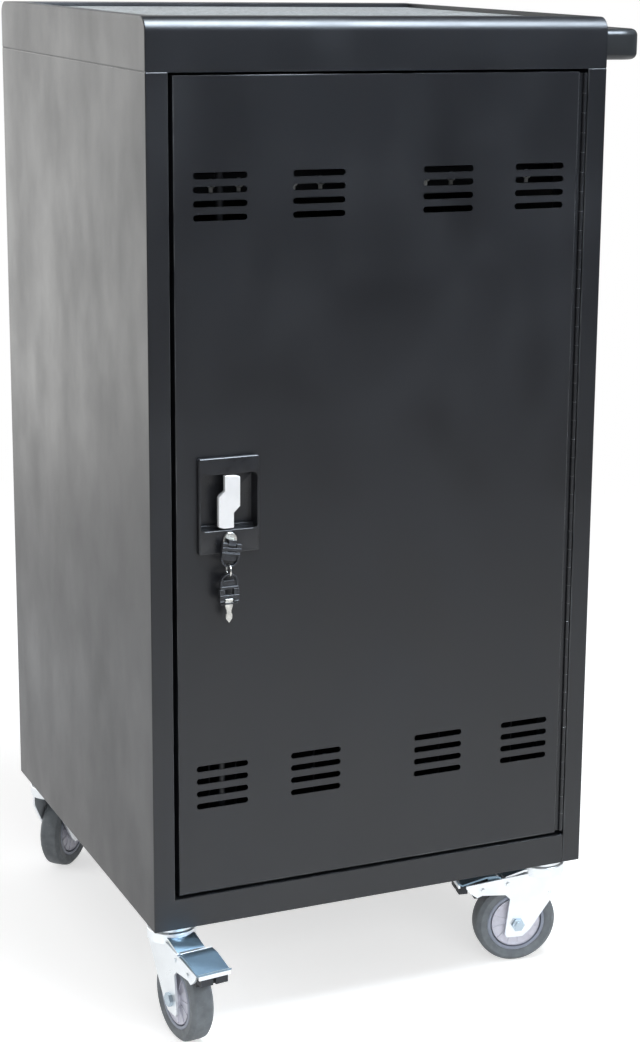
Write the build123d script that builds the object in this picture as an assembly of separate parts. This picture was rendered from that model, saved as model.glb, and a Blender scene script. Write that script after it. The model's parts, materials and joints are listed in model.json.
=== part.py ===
"""Lockable laptop charging cart on four swivel casters.

Model frame: X to the right, Y to the back, Z up, in millimetres, first with X = Y = 0 in the
middle of the cabinet and Z = 0 at its underside. At the end the whole set is moved so that the
origin is the middle of its bounding box, at floor level.
"""
from build123d import *
from math import cos, hypot, pi, radians, sin, sqrt
import os

# ---- cabinet -----------------------------------------------------------------------------
cabinet_width = 500.0
cabinet_depth = 510.0
body_height = 875.0        # underside to the seam under the top cover
cover_height = 50.5        # top cover, above the seam plate
sheet = 1.5                # steel sheet of the cabinet
bend_radius = 1.2          # outer radius of a folded sheet edge
seat_gap = 0.3             # gap between sheet pieces that are slid into each other

left_stile = 22.6          # folded front edge of the left side
right_stile = 21.4         # the same on the right, beside the piano hinge
rear_stile = 23.8
stile_lip = 20.0           # depth of the lip behind each stile
rail_height = 33.0         # bottom rail under the doors
rail_flange = 24.0
rail_seam = 0.6            # open joint between the front rail and the right stile

# ---- top cover and tray --------------------------------------------------------------------
cover_round = 14.0         # rounded front and rear top edges
cover_side_round = 1.2
tray_side_rim = 16.0
tray_front_rim = 32.0
tray_back_rim = 55.0
tray_recess = 6.0
mat_thickness = 2.0
mat_gap = 0.5

# ---- push handle on the right side ---------------------------------------------------------
grip_length = 424.0
grip_reach = 74.0          # out from the side of the cabinet
grip_height = 32.0
grip_thickness = 17.0
grip_bend = 23.0           # centre line radius of its two bends
grip_round = 7.0
grip_rise = 22.0           # height of its centre line above the seam
grip_screw_radius = 2.5
grip_screw_spacing = 16.0

# ---- inside --------------------------------------------------------------------------------
bay_margin = 24.0          # at least this much beside the outermost bays
bay_pitch = 30.0
divider_thickness = 2.0
divider_depth = 290.0
divider_height = 250.0
divider_round = 40.0
divider_tab = 40.0
tab_gap = 0.2
shelf_front = -205.0       # front edge of the upper shelf
shelf_lip = 16.0
partition_y = 112.0
cable_slot = (400.0, 26.0)
cable_slot_height = 300.0  # above each shelf
ring_height = 304.6        # centre of the cable rings above their shelf
ring_y = -160.0
ring_radius = 5.0
ring_wire = 1.4
rail_bar = (8.0, 20.0)     # section of the bar that carries the cable rings

strip_end = 25.0           # from each end of a power strip to the cabinet's side
strip_height = 44.0
strip_depth = 36.0
outlet_first = 17.0        # first outlet from the end of the strip
outlet_pitch = 27.0
outlet_depth = 12.0
switch_size = (11.0, 23.0)
switch_depth = 12.0
switch_axis = 5.0          # the rocker's axis below the face of the strip
switch_pin_radius = 1.2
strip_drop = 70.0          # middle of a strip below the top of its tier
adapter_rise = 182.0       # adapter tray above the floor of its tier
adapter_shelf_lip = 28.0
inlet_size = (48.0, 27.0)
inlet_depth = 22.0
inlet_place = (190.0, 105.0)

# ---- front door and piano hinge ------------------------------------------------------------
door_gap_left = 4.9
door_gap_top = 3.0
door_gap_bottom = 3.5
door_gap_right = 10.0      # room for the hinge beside the door
door_depth = 30.0
door_lip = 12.0
vent_length = 56.3
vent_height = 6.5
vent_pitch = 13.5
vent_rows = 4
vent_insets_left = (47.5, 151.5)      # middles of two columns, from the door's left edge
vent_insets_right = (148.1, 44.1)     # and of the other two, from its right edge
vent_drop = 98.5           # first slot of the upper groups below the seam
vent_rise = 172.3          # first slot of the lower groups above the underside
leaf_thickness = 1.0
web_thickness = 1.1        # of the leaf where it wraps into the knuckles
leaf_depth = 17.0
knuckle_radius = 2.3
knuckle_count = 41
knuckle_gap = 0.4
knuckle_side_gap = 0.35
hinge_pin_radius = 1.2
pin_clearance = 0.05
hinge_end_gap = 1.5        # hinge shorter than the door at each end

# ---- turn handle, latch and lock -----------------------------------------------------------
lock_inset = 54.0          # axis of the lock from the door's left edge
lever_z = 452.5
plate_width = 64.5
plate_bottom = 399.8
plate_top = 498.4
plate_thickness = 5.0
plate_round = 2.0
recess_width = 60.0
recess_bottom = 424.2
recess_top = 481.4
recess_round = 5.0
recess_depth = 17.0
dish_wall = 1.2
dish_gap = 0.3             # between the dish and its cut-out in the door
lever_half_length = 27.0
lever_outer = 11.5
lever_inner = 4.8
lever_step = (5.0, 11.5)
lever_sweep = 27.6
lever_thickness = 5.0
lever_proud = 0.5
boss_radius = 7.0
spindle_radius = 4.0
cam_thickness = 2.5
cam_radius = 27.0
cam_start = 9.0            # radius of the rod pins with the rods drawn in
rod_stroke = 12.0          # travel of each rod for a quarter turn
rod_radius = 4.0
rod_y = 21.0               # from the front face back to the rod's axis
rod_pin_radius = 2.0
strap_width = 16.0
strap_thickness = 3.0
slot_clearance = 0.15
rod_clearance = 0.1
guide_width = 26.0
guide_height = 14.0
guide_rise = 250.0         # lower rod guide above the underside
guide_drop = 220.0         # upper rod guide below the seam
core_z = 414.5
core_radius = 7.3
core_proud = 2.5
core_neck_radius = 3.5
rotor_radius = 13.6
rotor_half_angle = 35.0
rotor_clearance = 0.4
key_lean = 10.0            # the key in the lock leans this much
keyway = (8.6, 2.4)
key_blade = (8.0, 2.0)
key_clearance = 0.3

bow_width = 21.0
bow_height = 24.5
spare_bow_height = 29.5    # unfolded, with its hinge end in view
bow_thickness = 5.0
bow_y = -268.2             # middle of the hanging bows
bow_top = 412.0
bow_hole_radius = 2.4
bow_rim = 1.5
bow_round = 8.5
bow_hinge_radius = 1.0
spare_blade_length = 21.8
ring_mean_radius = 6.4
ring_wire_radius = 0.8
hang_gap = 0.2

# ---- rear door -----------------------------------------------------------------------------
rear_door_gap = 3.7
rear_door_depth = 18.0
pivot_gap = 0.2            # between the pivot pin and the door's returns
pivot_radius = 2.3
pivot_clearance = 0.1
rear_lock_inset = 55.0     # from the cabinet's left side
rear_core_radius = 8.0
rear_tab = (37.0, 14.0, 2.5)

# ---- casters -------------------------------------------------------------------------------
caster_inset_x = 30.0
caster_inset_y = 34.0
wheel_radius = 46.5
wheel_width = 26.0
axle_drop = 77.0           # axle below the cabinet's underside
caster_trail = 31.0
race_radius = 24.0
race_height = 8.0
stem_radius = 6.0
stem_height = 20.0
nut_flats = 18.0
nut_height = 9.0
kingpin_radius = 5.0
running_gap = 0.3          # flat faces that turn past each other
running_clearance = 0.06   # radial clearance of a running fit
crown_radius = 26.0
fork_sheet = 2.5
wheel_side_gap = 1.5       # between the tyre and each side plate
axle_radius = 4.0
axle_head = (13.0, 4.0)
hub_radius = 33.5
hub_width = 22.0
hub_boss_radius = 9.0
hub_recess = 2.0
hub_groove = (28.8, 30.4, 3.0)
tyre_seat = 0.05
tyre_round = 5.5
pedal_pivot = (43.5, -28.0)
pedal_rivet = (72.3, -32.6)
rivet_radius = 2.4
pedal_overhang = 1.5       # of the pedal past the side plates
pedal_plate = 2.0
brake_gap = 0.4
front_left_heading = -83.5   # direction in which each wheel trails behind its stem
front_right_heading = 169.5
rear_left_heading = 47.0
rear_right_heading = 83.5

# pieces that set the overall length, width and height
outermost = ("left_side", "right_side", "top_cover", "side_handle", "tyre", "fork", "brake_pedal")

# ---- worked out from the sizes above -------------------------------------------------------
left = -cabinet_width / 2
right = cabinet_width / 2
front = -cabinet_depth / 2
back = cabinet_depth / 2
seam = body_height
cover_base = seam + sheet
cover_top = cover_base + cover_height
lower_floor = rail_height
upper_floor = (lower_floor + seam) / 2
bay_count = int((cabinet_width - 2 * bay_margin) // bay_pitch)
strip_length = cabinet_width - 2 * strip_end
strip_levels = (upper_floor - strip_drop, seam - strip_drop)
adapter_levels = (lower_floor + adapter_rise, upper_floor + adapter_rise)
door_left = left + left_stile + door_gap_left
door_right_edge = right - right_stile - door_gap_right
vent_columns = [door_left + d for d in vent_insets_left] + [door_right_edge - d for d in vent_insets_right]
lock_x = door_left + lock_inset
rear_lock_x = left + rear_lock_inset
pivot_inset = sheet + pivot_radius + pivot_gap
grip_centre = seam + grip_rise
guide_levels = (guide_rise, seam - guide_drop)
fork_inner = wheel_width + 2 * wheel_side_gap
pedal_half_width = fork_inner / 2 + fork_sheet + pedal_overhang
door_top = seam - door_gap_top
door_bottom = rail_height + door_gap_bottom
hinge_x = right - right_stile - knuckle_radius - seat_gap
hinge_y = front + knuckle_radius
dish_floor = front - plate_thickness + recess_depth
core_back = dish_floor + 4.0
rod_axis_y = front + rod_y
cam_y = rod_axis_y + rod_radius + 0.5
cam_far = cam_start + rod_stroke
shelf_sheet_side = sheet + seat_gap
tiers = (lower_floor, upper_floor)


def block(x, y, z):
    """A box between pairs of limits."""
    size = Box(x[1] - x[0], y[1] - y[0], z[1] - z[0])
    return Pos((x[0] + x[1]) / 2, (y[0] + y[1]) / 2, (z[0] + z[1]) / 2) * size


def bar_x(y, z, radius, x):
    """A cylinder along X between two limits."""
    return Pos((x[0] + x[1]) / 2, y, z) * Rot(0, 90, 0) * Cylinder(radius, x[1] - x[0])


def bar_y(x, z, radius, y):
    """A cylinder along Y between two limits."""
    return Pos(x, (y[0] + y[1]) / 2, z) * Rot(90, 0, 0) * Cylinder(radius, y[1] - y[0])


def bar_z(x, y, radius, z):
    """A cylinder along Z between two limits."""
    return Pos(x, y, (z[0] + z[1]) / 2) * Cylinder(radius, z[1] - z[0])


def plate_xz(points, y):
    """An outline in X and Z, made a plate between two Y limits."""
    face = make_face(Plane.XZ * Polyline(*points, close=True))
    return Pos(0, y[1], 0) * extrude(face, y[1] - y[0], dir=(0, -1, 0))


def hexagon(flats, height):
    """A hexagon prism, across flats, centred on the origin along Z."""
    return extrude(RegularPolygon(flats / sqrt(3), 6), height / 2, both=True)


def upright_edges(shape, x, y):
    """The vertical edges of a shape that stand at a given X and Y."""
    edges = shape.edges().filter_by(Axis.Z)
    return [e for e in edges if hypot(e.center().X - x, e.center().Y - y) < 0.01]


# ---- cabinet shell -------------------------------------------------------------------------
def side_panel(side, stile):
    """A cabinet side with a folded stile and lip at the front and at the back."""
    edge = side * cabinet_width / 2
    def across(near, far):
        return tuple(sorted((edge - side * near, edge - side * far)))
    panel = block(across(0, sheet), (front, back), (0, seam))
    panel += block(across(0, stile), (front, front + sheet), (0, seam))
    panel += block(across(0, rear_stile), (back - sheet, back), (0, seam))
    panel += block(across(stile - sheet, stile), (front, front + stile_lip), (lower_floor, seam))
    rear_lip = (back - stile_lip, back)
    panel += block(across(rear_stile - sheet, rear_stile), rear_lip, (lower_floor, seam))
    corners = upright_edges(panel, edge, front) + upright_edges(panel, edge, back)
    return fillet(corners, bend_radius)


def right_side_panel():
    """The right side, with the cut-out for the mains inlet and holes for the grip."""
    panel = side_panel(1, right_stile)
    y, z = inlet_place
    half_y = inlet_size[0] / 2 - 4
    half_z = inlet_size[1] / 2 - 3
    return panel - block((right - 2 * sheet, right + 1), (y - half_y, y + half_y), (z - half_z, z + half_z))


def base_pan():
    """Floor plate with the bottom rails under both doors."""
    inner = (left + sheet, right - sheet)
    pan = block(inner, (front + sheet, back - sheet), (0, sheet))
    flange_top = rail_height - sheet
    rails = ((front, 1, left_stile, right_stile + rail_seam), (back, -1, rear_stile, rear_stile))
    for y_out, way, stile_l, stile_r in rails:
        x = (left + stile_l, right - stile_r)
        pan += block(x, tuple(sorted((y_out, y_out + way * sheet))), (0, rail_height))
        y_flange = tuple(sorted((y_out, y_out + way * rail_flange)))
        pan += block(x, y_flange, (flange_top - sheet, flange_top))
    for x, y in caster_places():
        pan -= bar_z(x, y, stem_radius + rod_clearance, (-1, 2 * sheet))
    pan -= bar_z(*rear_pivot(), pivot_radius + pivot_clearance, (flange_top - 2 * sheet, rail_height))
    return pan - rod_hole(0, rail_height)


def rod_hole(z_low, z_high):
    """The hole that a latch rod passes through."""
    return bar_z(lock_x, rod_axis_y, rod_radius + rod_clearance, (z_low, z_high))


def divider_slots(floor):
    """Slots for the tabs of the bay dividers in a shelf."""
    slots = Part()
    half = divider_thickness / 2 + tab_gap
    for x in divider_places():
        for y in divider_tab_places():
            y_span = (y - divider_tab / 2 - tab_gap, y + divider_tab / 2 + tab_gap)
            slots += block((x - half, x + half), y_span, (floor - 2 * sheet, floor + sheet))
    return slots


def lower_shelf():
    """Floor of the lower tier, on the flanges of the base pan."""
    x = (left + shelf_sheet_side, right - shelf_sheet_side)
    shelf = block(x, (front + sheet + seat_gap, back - sheet - seat_gap),
                  (lower_floor - sheet, lower_floor))
    shelf -= bar_z(*rear_pivot(), pivot_radius + pivot_clearance, (0, rail_height + 1))
    shelf -= rod_hole(0, rail_height + 1)
    return shelf - divider_slots(lower_floor)


def upper_shelf():
    """Floor of the upper tier, with folded edges, against the partition."""
    x = (left + shelf_sheet_side, right - shelf_sheet_side)
    y = (shelf_front, partition_y - sheet)
    under = (upper_floor - shelf_lip, upper_floor)
    shelf = block(x, y, (upper_floor - sheet, upper_floor))
    shelf += block(x, (shelf_front, shelf_front + sheet), under)
    shelf += block(x, (y[1] - sheet, y[1]), under)
    shelf += block((x[0], x[0] + sheet), y, under)
    shelf += block((x[1] - sheet, x[1]), y, under)
    return shelf - divider_slots(upper_floor)


def partition_panel():
    """Wall between the laptop bays and the charger space, with a long slot for the leads of each tier."""
    x = (left + shelf_sheet_side, right - shelf_sheet_side)
    z = (lower_floor, seam - seat_gap)
    wall = block(x, (partition_y - sheet, partition_y), z)
    for edge in ((x[0], x[0] + sheet), (x[1] - sheet, x[1])):
        wall += block(edge, (partition_y - sheet, partition_y + 2 * shelf_lip), z)
    slot = SlotOverall(*cable_slot)
    hole = extrude(Plane.XZ * slot, 2 * sheet, both=True)
    for floor in tiers:
        wall -= Pos(0, partition_y, floor + cable_slot_height) * hole
    return wall


def inner_top_panel():
    """Plate on the side panels that carries the cover and takes the upper latch rod."""
    x = (left + 0.5, right - 0.5)
    plate = block(x, (front + 0.5, back - 0.5), (seam, cover_base))
    for edge in ((left + shelf_sheet_side, left + shelf_sheet_side + sheet),
                 (right - shelf_sheet_side - sheet, right - shelf_sheet_side)):
        front_edge = front + stile_lip + 10
        plate += block(edge, (front_edge, partition_y - 2 * sheet), (seam - 22, seam))
    plate -= bar_z(*rear_pivot(), pivot_radius + pivot_clearance, (seam - 1, cover_base + 1))
    return plate - rod_hole(seam - 1, cover_base + 1)


def rounded_cover(inset, top, round_radius):
    """The outline solid of the top cover, or of its hollow."""
    y = (front + inset, back - inset)
    solid = block((left + inset, right - inset), y, (cover_base, top))
    upper = solid.faces().sort_by(Axis.Z)[-1].edges().filter_by(Axis.X)
    return fillet(upper, round_radius)


def tray_span(margin):
    """X and Y limits of the tray recess, grown by a margin."""
    x = (left + tray_side_rim - margin, right - tray_side_rim + margin)
    y = (front + tray_front_rim - margin, back - tray_back_rim + margin)
    return x, y


def top_cover():
    """Top cover, bent down all round, with a shallow tray pressed into it."""
    cover = rounded_cover(0, cover_top, cover_round)
    hollow = rounded_cover(sheet, cover_top - sheet, cover_round - sheet)
    tray_floor = cover_top - tray_recess
    hollow -= block(*tray_span(sheet), (tray_floor - sheet, cover_top))
    cover -= hollow
    cover -= block(*tray_span(0), (tray_floor, cover_top + 1))
    for y, z in grip_screw_places():
        cover -= bar_x(y, z, grip_screw_radius + rod_clearance, (right - 3 * sheet, right + 1))
    side_edges = cover.edges().filter_by(Axis.Y).group_by(Axis.Z)[-1]
    outer = [e for e in side_edges if abs(abs(e.center().X) - cabinet_width / 2) < 0.01]
    return fillet(outer, cover_side_round)


def top_mat():
    """Non-slip mat in the tray."""
    x, y = tray_span(-mat_gap)
    floor = cover_top - tray_recess
    return block(x, y, (floor, floor + mat_thickness))


# ---- push handle ---------------------------------------------------------------------------
def grip_leg_places():
    """Y of the centre line of the handle's two legs."""
    half = grip_length / 2 - grip_thickness / 2
    return (-half, half)


def grip_screw_places():
    """Y and Z of the screws, two in each leg."""
    heights = (grip_centre - grip_screw_spacing / 2, grip_centre + grip_screw_spacing / 2)
    return [(y, z) for y in grip_leg_places() for z in heights]


def side_handle():
    """Bow handle: a flat rounded section swept along a U."""
    low, high = grip_leg_places()
    out = right + grip_reach - grip_thickness / 2
    path = FilletPolyline((right, low, grip_centre), (out, low, grip_centre),
                          (out, high, grip_centre), (right, high, grip_centre), radius=grip_bend)
    start = Plane(origin=(right, low, grip_centre), x_dir=(0, 1, 0), z_dir=(1, 0, 0))
    section = start * RectangleRounded(grip_thickness, grip_height, grip_round)
    grip = sweep(section, path=path)
    for y, z in grip_screw_places():
        grip -= bar_x(y, z, grip_screw_radius + rod_clearance, (right - 1, right + 16))
    return grip


def handle_screws():
    """Screws that hold the handle from inside the cover."""
    screws = []
    for y, z in grip_screw_places():
        shank = bar_x(y, z, grip_screw_radius, (right - sheet, right + 14))
        head = bar_x(y, z, 2 * grip_screw_radius, (right - sheet - 3, right - sheet))
        screws.append(shank + head)
    return screws


# ---- bays, leads and power -----------------------------------------------------------------
def divider_places():
    """X of the dividers: one more than the bays."""
    half = bay_count * bay_pitch / 2
    return [-half + i * bay_pitch for i in range(bay_count + 1)]


def divider_front():
    """Y of the dividers' front edge."""
    return partition_y - sheet - 8.0 - divider_depth


def divider_tab_places():
    """Y of the two tabs under each divider."""
    y = divider_front()
    return (y + 45.0, y + divider_depth - 45.0)


def dividers(floor):
    """Sheet dividers between the bays of one tier."""
    y = divider_front()
    half = divider_thickness / 2
    fins = []
    for x in divider_places():
        fin = block((x - half, x + half), (y, y + divider_depth), (floor, floor + divider_height))
        top = fin.edges().filter_by(Axis.X).group_by(Axis.Z)[-1]
        fin = fillet(top, divider_round)
        for tab in divider_tab_places():
            y_span = (tab - divider_tab / 2, tab + divider_tab / 2)
            fin += block((x - half, x + half), y_span, (floor - sheet, floor))
        fins.append(fin)
    return fins


def cable_rail():
    """The two bars that carry the cable rings."""
    x = (left + shelf_sheet_side, right - shelf_sheet_side)
    bars = []
    for floor in tiers:
        z = floor + ring_height
        y = ring_y + ring_wire + seat_gap
        bars.append(block(x, (y, y + rail_bar[0]), (z - rail_bar[1] / 2, z + rail_bar[1] / 2)))
    return bars


def cable_rings():
    """A ring for the charging lead in front of each bay, clipped to its bar."""
    rings = []
    for floor in tiers:
        for i in range(bay_count):
            x = (i - (bay_count - 1) / 2) * bay_pitch
            z = floor + ring_height
            ring = bar_y(x, z, ring_radius, (ring_y - ring_wire, ring_y + ring_wire))
            ring -= bar_y(x, z, ring_radius - ring_wire, (ring_y - 3, ring_y + 3))
            foot = (ring_y, ring_y + ring_wire + seat_gap)
            ring += block((x - 2, x + 2), foot, (z - ring_radius - 4, z - ring_radius + 0.8))
            rings.append(ring)
    return rings


def outlet_cuts(x, y, z):
    """Two blade slots and a round earth hole of one outlet."""
    deep = (y - outlet_depth, y + 1)
    cuts = block((x - 7.3, x - 5.3), deep, (z - 1, z + 7))
    cuts += block((x + 5.3, x + 7.3), deep, (z - 1, z + 7))
    return cuts + bar_y(x, z - 8, 2.6, deep)


def power_strip(level):
    """Power strip on the back of the partition: outlets and an opening for the switch."""
    y = (partition_y, partition_y + strip_depth)
    half = strip_length / 2
    body = block((-half, half), y, (level - strip_height / 2, level + strip_height / 2))
    far = body.faces().sort_by(Axis.Y)[-1]
    body = fillet(far.edges(), 3.0)
    for i in range(bay_count):
        body -= outlet_cuts(outlet_x(i), y[1], level)
    x = switch_x()
    w, h = switch_size
    pocket = block((x - w / 2, x + w / 2), (y[1] - switch_depth, y[1] + 1), (level - h / 2, level + h / 2))
    ends = (x - w / 2 - 2.2, x + w / 2 + 2.2)
    pocket += bar_x(y[1] - switch_axis, level, switch_pin_radius + running_clearance, ends)
    return body - pocket


def outlet_x(i):
    """X of an outlet, counted from the left end of the strip."""
    return -strip_length / 2 + outlet_first + i * outlet_pitch


def switch_x():
    """X of the rocker switch, at the right end of the strip."""
    return strip_length / 2 - 16.0


def strip_switch(level):
    """Rocker of a power strip, with the two ends of its cross pin."""
    x = switch_x()
    y = partition_y + strip_depth
    half_w = switch_size[0] / 2 - seat_gap
    half_h = switch_size[1] / 2 - 3.5
    points = [(y - 7.0, level - half_h + 1), (y + 0.4, level - half_h), (y + 0.9, level),
              (y + 3.2, level + half_h), (y - 7.0, level + half_h - 1)]
    outline = Polyline(*[(x - half_w, a, b) for a, b in points], close=True)
    rocker = extrude(make_face(outline), 2 * half_w, dir=(1, 0, 0))
    ends = (x - switch_size[0] / 2 - 2, x + switch_size[0] / 2 + 2)
    return rocker + bar_x(y - switch_axis, level, switch_pin_radius, ends)


def adapter_shelf(level):
    """Tray for the power adapters behind the partition."""
    x = (left + 2 * sheet + 3 * seat_gap, right - 2 * sheet - 3 * seat_gap)
    y = (partition_y, back - rear_door_depth - 22)
    tray = block(x, y, (level - sheet, level))
    tray += block(x, (y[1] - sheet, y[1]), (level - sheet, level + adapter_shelf_lip))
    return tray + block(x, (y[0], y[0] + sheet), (level - sheet, level + adapter_shelf_lip / 2))


def power_inlet():
    """Three-pin mains inlet in the right side."""
    y, z = inlet_place
    half_y = inlet_size[0] / 2
    half_z = inlet_size[1] / 2
    inlet = block((right, right + 2), (y - half_y, y + half_y), (z - half_z, z + half_z))
    body_y = (y - half_y + 4 + seat_gap, y + half_y - 4 - seat_gap)
    body_z = (z - half_z + 3 + seat_gap, z + half_z - 3 - seat_gap)
    inlet += block((right - inlet_depth, right), body_y, body_z)
    cavity = block((right - 16, right + 3), (y - 12, y + 12), (z - 8, z + 8))
    for dy, dz in ((-7, -2), (7, -2), (0, 2)):
        cavity -= block((right - 17, right - 3), (y + dy - 1, y + dy + 1), (z + dz - 2, z + dz + 2))
    return inlet - cavity


# ---- doors ---------------------------------------------------------------------------------
def door_pan(x, y_face, way, reach):
    """A door pressed as a pan: skin, four returns and an inner lip."""
    z = (door_bottom, door_top)
    def deep(near, far):
        return tuple(sorted((y_face + way * near, y_face + way * far)))
    pan = block(x, deep(0, reach), z)
    pan -= block((x[0] + sheet, x[1] - sheet), deep(sheet, reach + 1), (z[0] + sheet, z[1] - sheet))
    rim = block(x, deep(reach - sheet, reach), z)
    rim -= block((x[0] + door_lip, x[1] - door_lip), deep(0, reach + 1), (z[0] + door_lip, z[1] - door_lip))
    return pan + rim


def vents(y_face, way):
    """Cutters for the eight groups of ventilation slots."""
    slot = Plane.XZ * SlotOverall(vent_length, vent_height)
    cutter = extrude(slot, 2 * sheet, both=True)
    cuts = []
    for x in vent_columns:
        for top in (seam - vent_drop, vent_rise):
            for row in range(vent_rows):
                cuts.append(Pos(x, y_face, top - row * vent_pitch) * cutter)
    return cuts


def front_door():
    """Front door, with vents, the cut-out for the dish and holes for the rods."""
    door = door_pan((door_left, door_right_edge), front, 1, door_depth)
    for cut in vents(front, 1):
        door -= cut
    half = recess_width / 2 + dish_wall + dish_gap
    door -= block((lock_x - half, lock_x + half), (front - 1, front + 2 * sheet),
                  (recess_bottom - dish_wall - dish_gap, recess_top + dish_wall + dish_gap))
    door -= bar_y(lock_x, core_z, core_radius + 3, (front - 1, front + 2 * sheet))
    door -= rod_hole(door_bottom - 1, door_bottom + 2 * sheet)
    return door - rod_hole(door_top - 2 * sheet, door_top + 1)


def hinge_levels():
    """Bottom, and pitch, of the knuckles."""
    low = door_bottom + hinge_end_gap
    high = door_top - hinge_end_gap
    return low, (high - low) / knuckle_count


def hinge_leaf(x_leaf, x_web, first):
    """One leaf of the piano hinge, with every second knuckle from the first one given."""
    low, pitch = hinge_levels()
    high = low + knuckle_count * pitch
    wrap = (hinge_y + knuckle_radius - web_thickness, hinge_y + knuckle_radius)
    leaf = block(x_leaf, (wrap[0], hinge_y + leaf_depth), (low, high))
    web = block(x_web, wrap, (low, high))
    leaf += web
    for i in range(1 - first, knuckle_count, 2):
        free = (low + i * pitch - knuckle_gap / 2, low + (i + 1) * pitch + knuckle_gap / 2)
        leaf -= bar_z(hinge_x, hinge_y, knuckle_radius + knuckle_side_gap, free)
    for i in range(first, knuckle_count, 2):
        span = (low + i * pitch + knuckle_gap / 2, low + (i + 1) * pitch - knuckle_gap / 2)
        leaf += bar_z(hinge_x, hinge_y, knuckle_radius, span)
    return leaf - bar_z(hinge_x, hinge_y, hinge_pin_radius + pin_clearance, (low - 1, high + 1))


def hinge_frame_leaf():
    """Leaf on the lip of the right stile."""
    lip_face = right - right_stile
    return hinge_leaf((lip_face - leaf_thickness, lip_face), (hinge_x, lip_face), 1)


def hinge_door_leaf():
    """Leaf on the hinge side of the front door."""
    x = (door_right_edge, door_right_edge + leaf_thickness)
    return hinge_leaf(x, (door_right_edge, hinge_x), 0)


def hinge_pin():
    """Wire pin of the piano hinge."""
    low, pitch = hinge_levels()
    return bar_z(hinge_x, hinge_y, hinge_pin_radius, (low, low + knuckle_count * pitch))


def rear_pivot():
    """X and Y of the pivot axis of the rear door."""
    return (right - rear_stile - rear_door_gap - pivot_inset, back - pivot_inset)


def rear_door():
    """Rear door, with the same vents, pivot holes and the hole for its lock."""
    x = (left + rear_stile + rear_door_gap, right - rear_stile - rear_door_gap)
    door = door_pan(x, back, -1, rear_door_depth)
    for cut in vents(back, -1):
        door -= cut
    door -= bar_y(rear_lock_x, upper_floor, rear_core_radius + 0.1, (back - 2 * sheet, back + 1))
    radius = pivot_radius + 0.02
    door -= bar_z(*rear_pivot(), radius, (door_bottom - 1, door_bottom + 2 * sheet))
    return door - bar_z(*rear_pivot(), radius, (door_top - 2 * sheet, door_top + 1))


def rear_door_pins():
    """Pivot pins at the bottom and the top of the rear door."""
    x, y = rear_pivot()
    low = bar_z(x, y, pivot_radius, (rail_height - 3 * sheet, door_bottom + 25))
    high = bar_z(x, y, pivot_radius, (door_top - 25, cover_base))
    return [low, high]


# ---- turn handle and latch -----------------------------------------------------------------
def lock_dish():
    """Moulded dish: a face plate, the recess for the lever and the seat of the lock."""
    half = plate_width / 2
    y_plate = (front - plate_thickness, front)
    dish = block((lock_x - half, lock_x + half), y_plate, (plate_bottom, plate_top))
    dish = fillet(dish.edges().filter_by(Axis.Y), plate_round)
    half = recess_width / 2 + dish_wall
    box_z = (recess_bottom - dish_wall, recess_top + dish_wall)
    dish += block((lock_x - half, lock_x + half), (front, dish_floor + dish_wall), box_z)
    dish += bar_y(lock_x, core_z, core_radius + 2.6, (front, dish_floor + dish_wall))
    half = recess_width / 2
    recess = block((lock_x - half, lock_x + half), (front - 5, dish_floor), (recess_bottom, recess_top))
    upper = recess.edges().filter_by(Axis.Y).group_by(Axis.Z)[-1]
    dish -= fillet(upper, recess_round)
    dish -= bar_y(lock_x, lever_z, spindle_radius + running_clearance, (front, dish_floor + 5))
    dish -= bar_y(lock_x, core_z, core_radius + running_clearance, (front - 5, dish_floor + 5))
    return dish


def turn_handle():
    """Lever with two offset arms, its boss and the spindle behind it."""
    a, b = lever_step
    half = [(-lever_inner, lever_half_length), (lever_outer, lever_half_length),
            (lever_outer, -a), (lever_inner, -b)]
    points = half + [(-x, -z) for x, z in half]
    face_y = front - plate_thickness - lever_proud
    lever = plate_xz([(lock_x + x, lever_z + z) for x, z in points], (face_y, face_y + lever_thickness))
    lever &= bar_y(lock_x, lever_z, lever_sweep, (face_y - 1, face_y + 2 * lever_thickness))
    lever = fillet(lever.faces().sort_by(Axis.Y)[0].edges(), 0.8)
    boss_end = dish_floor - running_gap
    lever += bar_y(lock_x, lever_z, boss_radius, (face_y + lever_thickness, boss_end))
    return lever + bar_y(lock_x, lever_z, spindle_radius, (boss_end, cam_y + cam_thickness + 1.5))


def spiral_slot(start_angle):
    """Slot of the latch cam: its radius grows evenly over a quarter turn."""
    steps = 12
    half = rod_pin_radius + slot_clearance
    slot = Part()
    path = []
    for i in range(steps + 1):
        turn = radians(start_angle + 90.0 * i / steps)
        reach = cam_start + rod_stroke * i / steps
        path.append((lock_x + reach * cos(turn), lever_z + reach * sin(turn)))
    inner, outer = [], []
    for i, (x, z) in enumerate(path):
        turn = radians(start_angle + 90.0 * i / steps)
        slope = Vector(cos(turn) * rod_stroke / (pi / 2), sin(turn) * rod_stroke / (pi / 2))
        reach = cam_start + rod_stroke * i / steps
        along = (slope + Vector(-sin(turn) * reach, cos(turn) * reach)).normalized()
        inner.append((x + along.Y * half, z - along.X * half))
        outer.append((x - along.Y * half, z + along.X * half))
    sides = [Spline(*[(x, 0, z) for x, z in inner]), Spline(*[(x, 0, z) for x, z in outer])]
    ends = [Line(sides[0] @ 0, sides[1] @ 0), Line(sides[0] @ 1, sides[1] @ 1)]
    face = make_face(sides + ends)
    slot += extrude(face, 40, both=True)
    for x, z in (path[0], path[-1]):
        slot += bar_y(x, z, half, (-40, 40))
    return Pos(0, cam_y, 0) * slot


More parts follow.
